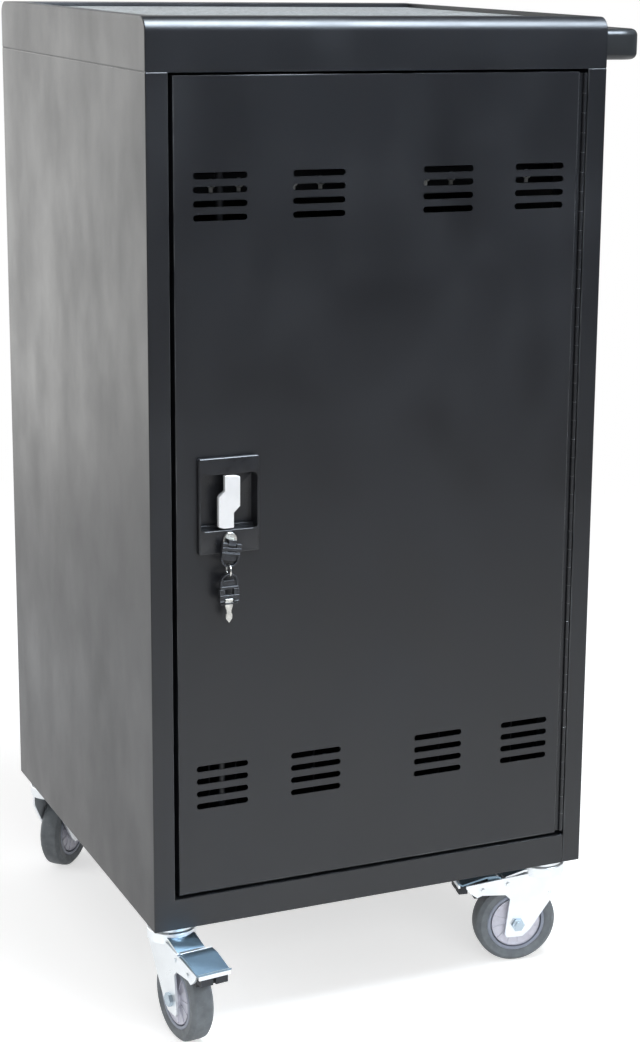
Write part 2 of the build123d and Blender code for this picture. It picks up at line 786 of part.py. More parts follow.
def rotor_scallops():
    """Hollows in the rim of the cam that the lock's rotor turns into, at either end of travel."""
    reach = lever_z - core_z
    cut_radius = rotor_radius + rotor_clearance
    deep = (cam_y - 1, cam_y + cam_thickness + 1)
    cuts = bar_y(lock_x, lever_z - reach, cut_radius, deep)
    return cuts + bar_y(lock_x + reach, lever_z, cut_radius, deep)


def latch_cam():
    """Disc on the spindle whose two spiral slots drive the rods."""
    deep = (cam_y, cam_y + cam_thickness)
    disc = bar_y(lock_x, lever_z, cam_radius, deep)
    disc -= spiral_slot(90.0)
    disc -= spiral_slot(270.0)
    disc -= rotor_scallops()
    return disc - bar_y(lock_x, lever_z, spindle_radius + 0.05, (cam_y - 1, cam_y + 9))


def latch_rod(way, tip, strap_end):
    """Round rod with a flat strap at the cam, and the cross pin that runs in the cam's slot."""
    pin_z = lever_z + way * cam_start
    half = strap_width / 2
    y = (rod_axis_y - strap_thickness / 2, rod_axis_y + strap_thickness / 2)
    strap = block((lock_x - half, lock_x + half), y, tuple(sorted((pin_z - way * 3.0, strap_end))))
    start = strap_end - way * 8.0
    rod = strap + bar_z(lock_x, rod_axis_y, rod_radius, tuple(sorted((start, tip))))
    return rod + bar_y(lock_x, pin_z, rod_pin_radius, (rod_axis_y, cam_y + cam_thickness))


def latch_rod_upper():
    """Rod that rises through the top of the door."""
    return latch_rod(1, door_top - 0.5, lever_z + 34.0)


def latch_rod_lower():
    """Rod that drops through the bottom of the door; its strap passes round the lock's neck."""
    rod = latch_rod(-1, door_bottom + 0.5, core_z - 18.0)
    half = core_neck_radius + 0.5
    slot = SlotOverall(rod_stroke + 2 * half, 2 * half)
    cutter = extrude(Plane.XZ * Rot(0, 0, 90) * slot, strap_width, both=True)
    return rod - Pos(lock_x, rod_axis_y, core_z + rod_stroke / 2) * cutter


def rod_guides():
    """Brackets on the inside of the door that guide the two rods."""
    guides = []
    for level in guide_levels:
        z = (level - guide_height / 2, level + guide_height / 2)
        half = guide_width / 2
        bracket = block((lock_x - half, lock_x + half), (front + sheet, rod_axis_y + rod_radius + 3), z)
        bracket -= block((lock_x - half + 5, lock_x + half - 5),
                         (front + sheet - 1, rod_axis_y - rod_radius - 3), (z[0] - 1, z[1] + 1))
        bracket -= bar_z(lock_x, rod_axis_y, rod_radius + rod_clearance, (z[0] - 1, z[1] + 1))
        guides.append(bracket)
    return guides


# ---- lock and keys -------------------------------------------------------------------------
def lean(shape):
    """Turn a piece of the key in the lock about the axis of the lock."""
    return Pos(lock_x, 0, core_z) * Rot(0, key_lean, 0) * Pos(-lock_x, 0, -core_z) * shape


def lock_core():
    """Lock barrel with a flat keyway."""
    face = front - plate_thickness - core_proud
    core = bar_y(lock_x, core_z, core_radius, (face, core_back))
    core = fillet(core.edges().filter_by(GeomType.CIRCLE).sort_by(Axis.Y)[0], 0.8)
    neck = (core_back, cam_y + cam_thickness + 2)
    core += bar_y(lock_x, core_z, core_neck_radius, neck)
    w, h = keyway
    slot = block((lock_x - w / 2, lock_x + w / 2), (face - 1, core_back - 1),
                 (core_z - h / 2, core_z + h / 2))
    return lean(core - slot)


def lock_rotor():
    """Fan-shaped cam on the lock barrel; a quarter turn puts it into the latch cam's rim."""
    deep = (cam_y, cam_y + cam_thickness)
    fan = bar_y(lock_x, core_z, rotor_radius, deep)
    reach = 2 * rotor_radius
    a = radians(180 - rotor_half_angle)
    wedge = [(lock_x, core_z), (lock_x + reach * cos(a), core_z + reach * sin(a)),
             (lock_x + reach * cos(a), core_z - reach * sin(a))]
    fan &= plate_xz(wedge, deep)
    fan += bar_y(lock_x, core_z, 6.0, deep)
    return fan - bar_y(lock_x, core_z, core_neck_radius + 0.05, (deep[0] - 1, deep[1] + 1))


def bow(top, height):
    """Moulded key bow, hanging from its top edge, with the ring's hole at the bottom."""
    half = bow_width / 2
    y = (bow_y - bow_thickness / 2, bow_y + bow_thickness / 2)
    head = block((lock_x - half, lock_x + half), y, (top - height, top))
    ends = head.edges().filter_by(Axis.Y).group_by(Axis.Z)
    head = fillet(list(ends[0]), bow_round)
    head = fillet(head.edges().filter_by(Axis.Y).group_by(Axis.Z)[-1], 1.2)
    for face_y in (y[0], y[1]):
        window = block((lock_x - half + 2.2, lock_x + half - 2.2), (face_y - 0.8, face_y + 0.8),
                       (top - height + 6.8, top - 9.0))
        head -= window
    hole_z = top - height + bow_rim + bow_hole_radius
    return head - bar_y(lock_x, hole_z, bow_hole_radius, (y[0] - 1, y[1] + 1))


def bow_slot(top):
    """Room in the upper edge of a bow for the head of its blade."""
    w = key_blade[0] / 2 + key_clearance
    return block((lock_x - w, lock_x + w), (bow_y - 9, bow_y + 9), (top - 5.0, top + 1))


def fold_pin(top):
    """Cross pin on which a blade folds."""
    half = bow_width / 2 - 2
    return bar_x(bow_y, top - 2.2, bow_hinge_radius, (lock_x - half, lock_x + half))


def lock_key():
    """Blade of the key in the lock, with the eye for the fold pin."""
    w, h = key_blade
    pin_z = bow_top - 2.2
    blade = block((lock_x - w / 2, lock_x + w / 2), (bow_y, core_back - 3),
                  (core_z - h / 2, core_z + h / 2))
    blade += block((lock_x - w / 2, lock_x + w / 2), (bow_y - 1.6, bow_y + 1.6), (pin_z, core_z + h / 2))
    blade += bar_x(bow_y, pin_z, 1.9, (lock_x - w / 2, lock_x + w / 2))
    return lean(blade - bar_x(bow_y, pin_z, bow_hinge_radius + 0.05, (lock_x - 9, lock_x + 9)))


def lock_key_bow():
    """Bow of the key in the lock, folded down."""
    top = bow_top
    return lean((bow(top, bow_height) - bow_slot(top)) + fold_pin(top))


def ring_top_z():
    """Height of the ring's wire where it hangs in the first bow's hole."""
    sag = ring_mean_radius - sqrt(ring_mean_radius ** 2 - (bow_thickness / 2) ** 2)
    hole_bottom = bow_top - bow_height + bow_rim
    return hole_bottom + ring_wire_radius + sag + hang_gap


def ring_place():
    """X and Z of the ring's centre, below the leaning bow's hole."""
    drop = core_z - (bow_top - bow_height + bow_rim + bow_hole_radius)
    a = radians(key_lean)
    x = lock_x - drop * sin(a)
    z = ring_top_z() - ring_mean_radius + drop * (1 - cos(a))
    return x, z


def key_ring():
    """Ring through both bows, standing across them."""
    x, z = ring_place()
    return Pos(x, bow_y, z) * Rot(0, 90, 0) * Torus(ring_mean_radius, ring_wire_radius)


def spare_bow_top():
    """Height of the spare bow's hinge edge when it hangs with its blade down."""
    x, z = ring_place()
    sag = ring_mean_radius - sqrt(ring_mean_radius ** 2 - (bow_thickness / 2) ** 2)
    hole_top = z - ring_mean_radius + ring_wire_radius + sag + hang_gap
    return hole_top + bow_rim - spare_bow_height


def hang_spare(shape):
    """Turn a bow over, so that its hole is at the top, and put it under the ring."""
    x, z = ring_place()
    turn = Pos(x, bow_y, spare_bow_top()) * Rot(0, 180, 0)
    return turn * Pos(-lock_x, -bow_y, 0) * shape


def spare_key_bow():
    """Bow of the spare key, hanging on the ring."""
    return hang_spare((bow(0, spare_bow_height) - bow_slot(0)) + fold_pin(0))


def spare_key_blade():
    """Blade of the spare key, folded out and pointing down."""
    x, z = ring_place()
    w, h = key_blade
    pin_z = spare_bow_top() + 2.2
    tip = spare_bow_top() - spare_blade_length
    outline = [(x - w / 2, pin_z), (x - w / 2, tip + 17.3), (x - w / 2 + 1.4, tip + 13.3),
               (x - w / 2 + 1.5, tip + 10.3), (x - w / 2 + 0.6, tip + 8.6),
               (x - w / 2 + 0.8, tip + 4.2), (x, tip)]
    mirrored = [(2 * x - px, pz) for px, pz in reversed(outline[:-1])]
    blade = plate_xz(outline + mirrored, (bow_y - h / 2, bow_y + h / 2))
    blade += bar_x(bow_y, pin_z, 1.9, (x - w / 2, x + w / 2))
    return blade - bar_x(bow_y, pin_z, bow_hinge_radius + 0.05, (x - 9, x + 9))


def rear_lock_core():
    """Barrel of the rear door's cam lock."""
    core = bar_y(rear_lock_x, upper_floor, rear_core_radius, (back - stile_lip, back + 2))
    core += bar_y(rear_lock_x, upper_floor, 3.0, (back - stile_lip - 6, back - stile_lip))
    slot = block((rear_lock_x - 1.2, rear_lock_x + 1.2), (back - 12, back + 3),
                 (upper_floor - 4.3, upper_floor + 4.3))
    core -= slot
    flange = bar_y(rear_lock_x, upper_floor, rear_core_radius + 2, (back, back + 2))
    return core + (flange - slot)


def rear_lock_cam():
    """Tab behind the rear door, hanging down while unlocked."""
    length, width, thick = rear_tab
    y = (back - stile_lip - 1 - thick, back - stile_lip - 1)
    tab = block((rear_lock_x - width / 2, rear_lock_x + width / 2), y, (upper_floor - length, upper_floor))
    tab += bar_y(rear_lock_x, upper_floor, width / 2, y)
    return tab - bar_y(rear_lock_x, upper_floor, 3.05, (y[0] - 1, y[1] + 1))


# ---- casters, first with the stem at the origin and the wheel trailing towards +X ----------
def caster_places():
    """X and Y of the four stems."""
    x = cabinet_width / 2 - caster_inset_x
    y = cabinet_depth / 2 - caster_inset_y
    return [(-x, -y), (x, -y), (-x, y), (x, y)]


def place_caster(shape, corner):
    """Put a caster piece under its corner, turned to its heading."""
    x, y = caster_places()[corner]
    headings = (front_left_heading, front_right_heading, rear_left_heading, rear_right_heading)
    return Pos(x, y, 0) * Rot(0, 0, headings[corner]) * shape


def caster_stem():
    """Threaded stem, upper race and kingpin with its riveted head."""
    crown_top = -race_height - running_gap
    stem = bar_z(0, 0, race_radius, (-race_height, 0))
    stem = fillet(stem.edges().filter_by(GeomType.CIRCLE).sort_by(Axis.Z)[-1], 3.0)
    stem += bar_z(0, 0, stem_radius, (0, stem_height))
    stem += bar_z(0, 0, kingpin_radius, (crown_top - fork_sheet - running_gap - 3, -race_height))
    head_top = crown_top - fork_sheet - running_gap
    return stem + bar_z(0, 0, kingpin_radius + 4, (head_top - 3, head_top))


def caster_nut():
    """Nut on the stem, inside the base pan."""
    nut = Pos(0, 0, sheet + nut_height / 2) * hexagon(nut_flats, nut_height)
    return nut - bar_z(0, 0, stem_radius + 0.05, (0, stem_height + 2))


def fork_side(y, braked):
    """One side plate of the fork; a braked fork has an arm for the pedal."""
    half = axle_drop + 15
    leg = [(-19.5, -18), (-19.5, -31.7), (-6, -52), (16, 8 - half), (25, -half), (43, -half),
           (45.5, 4 - half)]
    if braked:
        top = [(40.5, -46), (46, -40.5), (73, -38.7), (79, -41), (86, -36), (92, -29),
               (92, -26), (48, -20.5), (19.5, -17)]
    else:
        top = [(42, -48), (38, -34), (28, -22), (19.5, -18)]
    return plate_xz(leg + top, y)


def fork(braked):
    """Fork: crown, bowl, two side plates, and a web towards the pedal."""
    crown_top = -race_height - running_gap
    crown = bar_z(0, 0, crown_radius, (crown_top - fork_sheet, crown_top))
    bowl = bar_z(0, 0, crown_radius, (-20, crown_top))
    bowl -= bar_z(0, 0, crown_radius - fork_sheet, (-21, crown_top))
    body = crown + bowl
    inner = fork_inner / 2
    for y in ((-inner - fork_sheet, -inner), (inner, inner + fork_sheet)):
        body += fork_side(y, braked)
    if braked:
        web = [(15, -12.5), (24, -12.5), (46, -19), (46, -21.5), (24, -15), (15, -15)]
        half = inner + fork_sheet / 2
        body += plate_xz(web, (-half, half))
    body = fillet(body.edges().filter_by(GeomType.CIRCLE).sort_by(Axis.Z)[-1], 1.5)
    body -= bar_z(0, 0, kingpin_radius + running_clearance, (-30, 0))
    return body - bar_y(caster_trail, -axle_drop, axle_radius + 0.05, (-30, 30))


def axle_bolt():
    """Bolt and nut of the axle, as one piece once riveted."""
    outer = fork_inner / 2 + fork_sheet
    flats, height = axle_head
    bolt = bar_y(caster_trail, -axle_drop, axle_radius, (-outer - 1, outer + 5))
    for y in (-outer - height / 2, outer + height / 2):
        bolt += Pos(caster_trail, y, -axle_drop) * Rot(90, 0, 0) * hexagon(flats, height)
    return bolt


def rivets():
    """The pedal's pivot rivet and the two short stop rivets beside it."""
    outer = fork_inner / 2 + fork_sheet
    x, z = pedal_pivot
    pivot = bar_y(x, z, rivet_radius, (-outer - 1.5, outer + 1.5))
    x, z = pedal_rivet
    stubs = [bar_y(x, z, rivet_radius, tuple(sorted((side * (fork_inner / 2 - 0.3), side * (outer + 1.5)))))
             for side in (-1, 1)]
    return [pivot] + stubs


def braked_fork():
    """Solids of a braked fork: the fork, its axle bolt and its rivets."""
    x, z = pedal_pivot
    body = fork(True) - bar_y(x, z, rivet_radius + 0.03, (-30, 30))
    x, z = pedal_rivet
    body -= bar_y(x, z, rivet_radius + 0.03, (-30, 30))
    return [body, axle_bolt()] + rivets()


def wheel_hub():
    """Wheel centre with a boss, a dished face and a ring groove on each side."""
    boss = fork_inner / 2 - running_gap
    hub = Cylinder(hub_radius, hub_width) + Cylinder(hub_boss_radius, 2 * boss)
    inner, outer, deep = hub_groove
    for side in (-1, 1):
        face = side * hub_width / 2
        dish = Cylinder(inner, 2 * hub_recess) - Cylinder(hub_boss_radius, 4 * hub_recess)
        groove = Cylinder(outer, 2 * deep) - Cylinder(inner, 4 * deep)
        hub = hub - Pos(0, 0, face) * dish - Pos(0, 0, face) * groove
    hub -= Cylinder(axle_radius + running_clearance, 4 * boss)
    return Pos(caster_trail, 0, -axle_drop) * Rot(90, 0, 0) * hub


def tyre():
    """Tyre with rounded shoulders."""
    ring = Cylinder(wheel_radius, wheel_width)
    ring = fillet(ring.edges().filter_by(GeomType.CIRCLE), tyre_round)
    ring -= Cylinder(hub_radius + tyre_seat, 2 * wheel_width)
    return Pos(caster_trail, 0, -axle_drop) * Rot(90, 0, 0) * ring


def brake_pedal():
    """Solids of a pedal: the pressed lever with its ears, and the block over the tyre."""
    wide = (-pedal_half_width, pedal_half_width)
    top = [(52, -18), (58, -15.5), (70, -16), (97, -23), (102, -20.5)]
    under = [(x, z - pedal_plate) for x, z in reversed(top)]
    lever = plate_xz(top + under, wide)
    ear = [(39, -31.2), (39, -25), (47, -25), (52.5, -19), (66, -17.6), (66, -26), (50, -31.2)]
    inner = fork_inner / 2
    for y in ((-inner + 0.5, -inner + 2.5), (inner - 2.5, inner - 0.5)):
        lever += plate_xz(ear, y)
    lever -= bar_y(*pedal_pivot, rivet_radius + running_clearance, (-30, 30))
    shoe = [(57, -44), (57, -19.2), (70, -18.3), (81, -21.2), (81, -44)]
    block_part = plate_xz(shoe, (-inner + 3, inner - 3))
    block_part -= bar_y(caster_trail, -axle_drop, wheel_radius + brake_gap, (-30, 30))
    return [lever, block_part]


# ---- assembly ------------------------------------------------------------------------------
def build_nodes():
    """All pieces by name, each one a solid or a list of solids."""
    nodes = {
        "left_side_panel": side_panel(-1, left_stile),
        "right_side_panel": right_side_panel(),
        "base_pan": base_pan(),
        "lower_shelf": lower_shelf(),
        "upper_shelf": upper_shelf(),
        "partition_panel": partition_panel(),
        "inner_top_panel": inner_top_panel(),
        "top_cover": top_cover(),
        "top_mat": top_mat(),
        "side_handle": side_handle(),
        "handle_screws": handle_screws(),
        "lower_dividers": dividers(lower_floor),
        "upper_dividers": dividers(upper_floor),
        "cable_rails": cable_rail(),
        "cable_rings": cable_rings(),
        "power_strip_lower": power_strip(strip_levels[0]),
        "power_strip_upper": power_strip(strip_levels[1]),
        "strip_switch_lower": strip_switch(strip_levels[0]),
        "strip_switch_upper": strip_switch(strip_levels[1]),
        "adapter_shelf_lower": adapter_shelf(adapter_levels[0]),
        "adapter_shelf_upper": adapter_shelf(adapter_levels[1]),
        "power_inlet": power_inlet(),
        "front_door": front_door(),
        "hinge_frame_leaf": hinge_frame_leaf(),
        "hinge_door_leaf": hinge_door_leaf(),
        "hinge_pin": hinge_pin(),
        "lock_dish": lock_dish(),
        "turn_handle": turn_handle(),
        "latch_cam": latch_cam(),
        "latch_rod_upper": latch_rod_upper(),
        "latch_rod_lower": latch_rod_lower(),
        "rod_guides": rod_guides(),
        "lock_core": lock_core(),
        "lock_rotor": lock_rotor(),
        "lock_key": lock_key(),
        "lock_key_bow": lock_key_bow(),
        "key_ring": key_ring(),
        "spare_key_bow": spare_key_bow(),
        "spare_key_blade": spare_key_blade(),
        "rear_door": rear_door(),
        "rear_door_pins": rear_door_pins(),
        "rear_lock_core": rear_lock_core(),
        "rear_lock_cam": rear_lock_cam(),
        "caster_stems": [place_caster(caster_stem(), i) for i in range(4)],
        "caster_nuts": [place_caster(caster_nut(), i) for i in range(4)],
    }
    corners = ("front_left", "front_right", "rear_left", "rear_right")
    for i, corner in enumerate(corners):
        braked = corner.startswith("front")
        solids = braked_fork() if braked else [fork(False), axle_bolt()]
        nodes["fork_" + corner] = [place_caster(s, i) for s in solids]
        nodes["wheel_hub_" + corner] = place_caster(wheel_hub(), i)
        nodes["tyre_" + corner] = place_caster(tyre(), i)
        if braked:
            nodes["brake_pedal_" + corner] = [place_caster(s, i) for s in brake_pedal()]
    return nodes


def centred(nodes):
    """Move the set so that the origin is under the middle of its bounding box."""
    solids = {}
    boxes = []
    for name, made in nodes.items():
        pieces = made if isinstance(made, list) else [made]
        solids[name] = [s for piece in pieces for s in piece.solids()]
        if name.startswith(outermost):
            boxes += [s.bounding_box() for s in solids[name]]
    low = [min(tuple(b.min)[k] for b in boxes) for k in range(3)]
    high = [max(tuple(b.max)[k] for b in boxes) for k in range(3)]
    shift = (-(low[0] + high[0]) / 2, -(low[1] + high[1]) / 2, -low[2])
    moved = {name: [Pos(*shift) * s for s in group] for name, group in solids.items()}
    return moved, shift


def main():
    """Build every piece and write one file for each node."""
    os.makedirs("parts", exist_ok=True)
    moved, shift = centred(build_nodes())
    for name, group in moved.items():
        shape = group[0] if len(group) == 1 else Compound(children=group)
        export_step(shape, "parts/" + name + ".step")
    print("nodes", len(moved), "shift", [round(v, 4) for v in shift])


main()
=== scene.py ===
"""Laptop charging cart: surfaces, fine shapes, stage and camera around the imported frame."""
import bmesh
import bpy
import json
from math import cos, pi, radians, sin
from mathutils import Matrix, Vector


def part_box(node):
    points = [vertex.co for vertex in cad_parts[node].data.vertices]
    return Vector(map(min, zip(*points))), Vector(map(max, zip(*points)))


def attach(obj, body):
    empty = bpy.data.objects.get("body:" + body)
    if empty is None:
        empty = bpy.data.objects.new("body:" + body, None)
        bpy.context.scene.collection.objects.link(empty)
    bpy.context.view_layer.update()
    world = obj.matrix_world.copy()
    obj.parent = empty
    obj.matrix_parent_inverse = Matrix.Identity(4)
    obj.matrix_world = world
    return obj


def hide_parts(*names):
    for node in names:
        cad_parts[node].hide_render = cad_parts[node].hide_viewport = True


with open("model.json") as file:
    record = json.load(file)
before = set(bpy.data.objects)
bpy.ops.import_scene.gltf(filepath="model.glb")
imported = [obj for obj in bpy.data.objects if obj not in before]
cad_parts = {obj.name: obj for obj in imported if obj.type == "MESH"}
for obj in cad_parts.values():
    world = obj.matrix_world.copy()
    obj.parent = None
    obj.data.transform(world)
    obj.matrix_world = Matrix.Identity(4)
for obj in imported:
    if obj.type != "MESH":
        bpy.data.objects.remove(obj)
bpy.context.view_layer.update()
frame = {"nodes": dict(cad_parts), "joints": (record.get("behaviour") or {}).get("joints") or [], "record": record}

bl_info = {
    "name": "Laptop charging cart",
    "version": (1, 0, 0),
    "blender": (4, 5, 0),
    "location": "3D View > Sidebar > Cart",
    "description": "Finishes, fine shapes and a studio for a laptop charging cart",
    "category": "Object",
}

MM = 0.001
CORNER = radians(38)        # edges sharper than this are rounded
SMOOTH = radians(35)        # faces that meet flatter than this are shaded as one
FLAT = radians(0.6)         # facets that meet flatter than this are made one face
WELD = 0.002 * MM           # corners of loose triangles nearer than this are one
SPUN_WELD = 0.001 * MM      # the same for a spun shape
LEVEL = 0.02 * MM           # points that differ by less lie in one plane
ARC_STEPS = 8
BAR_SIDES = 20
WHEEL_STEPS = 96
NOISE_SPAN = {"From Min": 0.3, "From Max": 0.7}     # where nearly all of a noise lies
LUMP_ROUGHNESS = 0.55       # how much each finer octave of a noise counts
BROAD_DETAIL, FINE_DETAIL = 2.0, 4.0
BROAD_SHARE, FINE_SHARE = 0.6, 0.4      # how far a finish's gloss follows its broad and its fine pattern
nodes = frame["nodes"]
joints = {j["name"]: j for j in frame["joints"]}
bodies = frame["record"]["behaviour"]["bodies"]
slots = {s["node"]: s["material_slot"] for s in frame["record"]["subparts"]}
CORNERS = ("front_left", "front_right", "rear_left", "rear_right")
BRAKED = CORNERS[:2]


# ---- colours and nodes ---------------------------------------------------------------------
def linear(hex_colour):
    """An sRGB hex colour as linear red, green and blue."""
    parts = [int(hex_colour[i:i + 2], 16) / 255 for i in (1, 3, 5)]
    return tuple(c / 12.92 if c <= 0.04045 else ((c + 0.055) / 1.055) ** 2.4 for c in parts)


def toned(colour, share):
    """A colour made darker, or lighter where the share is over one."""
    return [c * share for c in colour]


def add_node(tree, kind, settings=None, links=None):
    """Add a node, set its options and sockets, and link its inputs."""
    new = tree.nodes.new(kind)
    for key, value in (settings or {}).items():
        if isinstance(key, str) and hasattr(new, key):
            setattr(new, key, value)
        else:
            new.inputs[key].default_value = value
    for key, source in (links or {}).items():
        tree.links.new(source, new.inputs[key])
    return new


def new_material(name):
    """An empty node material with its output and shader."""
    material = bpy.data.materials.new(name)
    material.use_nodes = True
    tree = material.node_tree
    tree.nodes.clear()
    shader = add_node(tree, "ShaderNodeBsdfPrincipled")
    add_node(tree, "ShaderNodeOutputMaterial", links={"Surface": shader.outputs[0]})
    return material, tree, shader


def surface(name, colour, second, roughness, lumps_mm, relief_mm, metallic=0.0):
    """A finish with drifting colour, uneven gloss and a fine relief.

    colour and second are the two ends of its tint, roughness its lowest and highest value, lumps_mm the
    sizes of its broad and fine pattern, relief_mm the depth of the fine one. Returns the material, its
    tree, its shader and its place coordinates.
    """
    material, tree, shader = new_material(name)
    place = add_node(tree, "ShaderNodeTexCoord").outputs["Object"]
    broad, fine = (add_node(tree, "ShaderNodeTexNoise", {"Scale": 1 / (size * MM), "Detail": detail,
                            "Roughness": LUMP_ROUGHNESS}, {"Vector": place}).outputs["Fac"]
                   for size, detail in zip(lumps_mm, (BROAD_DETAIL, FINE_DETAIL)))
    drift = add_node(tree, "ShaderNodeMapRange", NOISE_SPAN, {"Value": broad}).outputs[0]
    tint = add_node(tree, "ShaderNodeMix", {"data_type": "RGBA", 6: (*colour, 1), 7: (*second, 1)},
                    {0: drift})
    specks = add_node(tree, "ShaderNodeMapRange", {**NOISE_SPAN, "To Max": FINE_SHARE},
                      {"Value": fine}).outputs[0]
    both = add_node(tree, "ShaderNodeMath", {"operation": "MULTIPLY_ADD", 1: BROAD_SHARE},
                    {0: broad, 2: specks})
    gloss = add_node(tree, "ShaderNodeMapRange", {"From Min": 0.25, "From Max": 0.75, "To Min": roughness[0],
                     "To Max": roughness[1]}, {"Value": both.outputs[0]})
    bump = add_node(tree, "ShaderNodeBump", {"Strength": 1.0, "Distance": relief_mm * MM}, {"Height": fine})
    tree.links.new(tint.outputs[2], shader.inputs["Base Color"])
    tree.links.new(gloss.outputs[0], shader.inputs["Roughness"])
    tree.links.new(bump.outputs[0], shader.inputs["Normal"])
    shader.inputs["Metallic"].default_value = metallic
    return material, tree, shader, place


# ---- finishes ------------------------------------------------------------------------------
def powder_coat(look):
    """Baked black polyester powder: satin, with the low orange peel that softens what it mirrors."""
    material, tree, shader, place = surface("powder_coat", look.paint, toned(look.paint, 1.3),
                                            roughness=(0.33, 0.41), lumps_mm=(160, 0.9), relief_mm=0.006)
    # cloudy patches of about 60 mm where the sheet was wiped down, drawn out upwards
    tall = add_node(tree, "ShaderNodeMapping", {"Scale": (1, 1, 0.6)}, {"Vector": place}).outputs[0]
    wipes = add_node(tree, "ShaderNodeTexNoise", {"Scale": 1 / (62 * MM), "Detail": 5.0,
                     "Roughness": LUMP_ROUGHNESS}, {"Vector": tall}).outputs["Fac"]
    smears = add_node(tree, "ShaderNodeMapRange", {**NOISE_SPAN, "To Min": -0.045, "To Max": 0.06},
                      {"Value": wipes}).outputs[0]
    gloss = shader.inputs["Roughness"].links[0].from_socket
    wiped = add_node(tree, "ShaderNodeMath", {"operation": "ADD"}, {0: gloss, 1: smears})
    tree.links.new(wiped.outputs[0], shader.inputs["Roughness"])
    return material


def powder_coat_edge(look):
    """The same powder over a fold, a little thinner there: smoother, and much paler as a painted highlight along
    the edge.
    """
    return surface("powder_coat_edge", look.paint_edge, look.paint, roughness=(0.25, 0.36),
                   lumps_mm=(30, 0.8), relief_mm=0.004)[0]


def worn_edge(look):
    """Pale, half-metallic steel colour on the rounded ends of the hinge knuckles: small dull glints."""
    return surface("worn_edge", look.knuckle_steel, toned(look.knuckle_steel, 0.7), roughness=(0.3, 0.45),
                   lumps_mm=(3, 0.4), relief_mm=0.002, metallic=0.4)[0]


def inner_powder_coat(look):
    """Powder coat inside the cabinet, where it lies thinner and looks drier."""
    return surface("inner_powder_coat", look.paint, toned(look.paint, 1.3), roughness=(0.42, 0.55),
                   lumps_mm=(90, 1.1), relief_mm=0.008)[0]


def zinc_plate(look):
    """Bright electroplated zinc on pressed steel: nearly white, with cloudy patches of gloss."""
    return surface("zinc_plate", look.zinc, toned(look.zinc, 0.93), roughness=(0.27, 0.37),
                   lumps_mm=(24, 0.5), relief_mm=0.002, metallic=0.65)[0]


def blue_zinc_plate(look):
    """Blue passivated zinc on the brake lever: a cool tint and a faint rolling grain."""
    return surface("blue_zinc_plate", look.pedal, toned(look.pedal, 0.8), roughness=(0.3, 0.42),
                   lumps_mm=(26, 0.6), relief_mm=0.003, metallic=0.9)[0]


def pale_zinc_plate(look):
    """Clear passivated zinc on the axle nuts: paler than the levers, still faintly blue."""
    return surface("pale_zinc_plate", look.nut, toned(look.nut, 0.86), roughness=(0.24, 0.36),
                   lumps_mm=(9, 0.4), relief_mm=0.002, metallic=0.8)[0]


def satin_chrome(look):
    """Satin chrome on a die-cast lever, made to scatter nearly white: a painted reflection for the chrome's bright
    sheen.
    """
    return surface("satin_chrome", look.chrome, toned(look.chrome, 0.95), roughness=(0.3, 0.4),
                   lumps_mm=(14, 0.3), relief_mm=0.002, metallic=0.3)[0]


def nickel_plate(look):
    """Nickel on the lock and the key blades: warm, rubbed bright by use."""
    return surface("nickel_plate", look.nickel, toned(look.nickel, 0.82), roughness=(0.18, 0.36),
                   lumps_mm=(4, 0.4), relief_mm=0.002, metallic=1.0)[0]


def glass_filled_nylon(look):
    """Moulded nylon of the lock dish: black and half glossy, with a fine spark-eroded grain."""
    return surface("glass_filled_nylon", look.nylon, toned(look.nylon, 1.4), roughness=(0.26, 0.36),
                   lumps_mm=(14, 0.45), relief_mm=0.004)[0]


def key_plastic(look):
    """Soft-looking moulded plastic of the key bows, dulled by handling."""
    return surface("key_plastic", look.nylon, toned(look.nylon, 2.2), roughness=(0.38, 0.55),
                   lumps_mm=(5, 0.5), relief_mm=0.005)[0]


def handle_plastic(look):
    """Smooth moulded grip: dark grey, with a faint flow pattern from the mould."""
    return surface("handle_plastic", look.grip, toned(look.grip, 1.2), roughness=(0.3, 0.42),
                   lumps_mm=(45, 0.8), relief_mm=0.005)[0]


def bay_plastic(look):
    """Moulded black styrene of the dividers and power strips: matt, lightly scuffed."""
    return surface("bay_plastic", look.bay, toned(look.bay, 1.5), roughness=(0.42, 0.6),
                   lumps_mm=(35, 0.8), relief_mm=0.008)[0]


def ring_plastic(look):
    """Natural nylon of the cable rings: pale and slightly waxy."""
    return surface("ring_plastic", look.ring, toned(look.ring, 0.85), roughness=(0.35, 0.5),
                   lumps_mm=(6, 0.6), relief_mm=0.004)[0]


def rocker_plastic(look):
    """Glossy red rocker of the power switches, with finger marks that break its shine."""
    return surface("rocker_plastic", look.rocker, toned(look.rocker, 0.8), roughness=(0.12, 0.32),
                   lumps_mm=(7, 0.5), relief_mm=0.002)[0]


def tread_rubber(look):
    """Grey thermoplastic rubber of the tyres: dry, with scuffs and dust along the tread."""
    material, tree, shader, place = surface("tread_rubber", look.tyre, toned(look.tyre, 0.72),
                                            roughness=(0.5, 0.72), lumps_mm=(11, 0.7), relief_mm=0.03)
    dust = add_node(tree, "ShaderNodeTexNoise", {"Scale": 1 / (2.6 * MM), "Detail": 6.0,
                    "Roughness": LUMP_ROUGHNESS}, {"Vector": place}).outputs["Fac"]
    lying = add_node(tree, "ShaderNodeMapRange", {"From Min": 0.62, "From Max": 0.8, "To Max": 0.3},
                     {"Value": dust}).outputs[0]
    base = shader.inputs["Base Color"].links[0].from_socket
    dusty = add_node(tree, "ShaderNodeMix", {"data_type": "RGBA", 7: (*look.dust, 1)}, {0: lying, 6: base})
    tree.links.new(dusty.outputs[2], shader.inputs["Base Color"])
    return material


def hub_plastic(look):
    """Moulded polypropylene wheel centre: pale lilac grey, faintly glossy."""
    return surface("hub_plastic", look.hub, toned(look.hub, 0.85), roughness=(0.3, 0.45),
                   lumps_mm=(8, 0.6), relief_mm=0.006)[0]


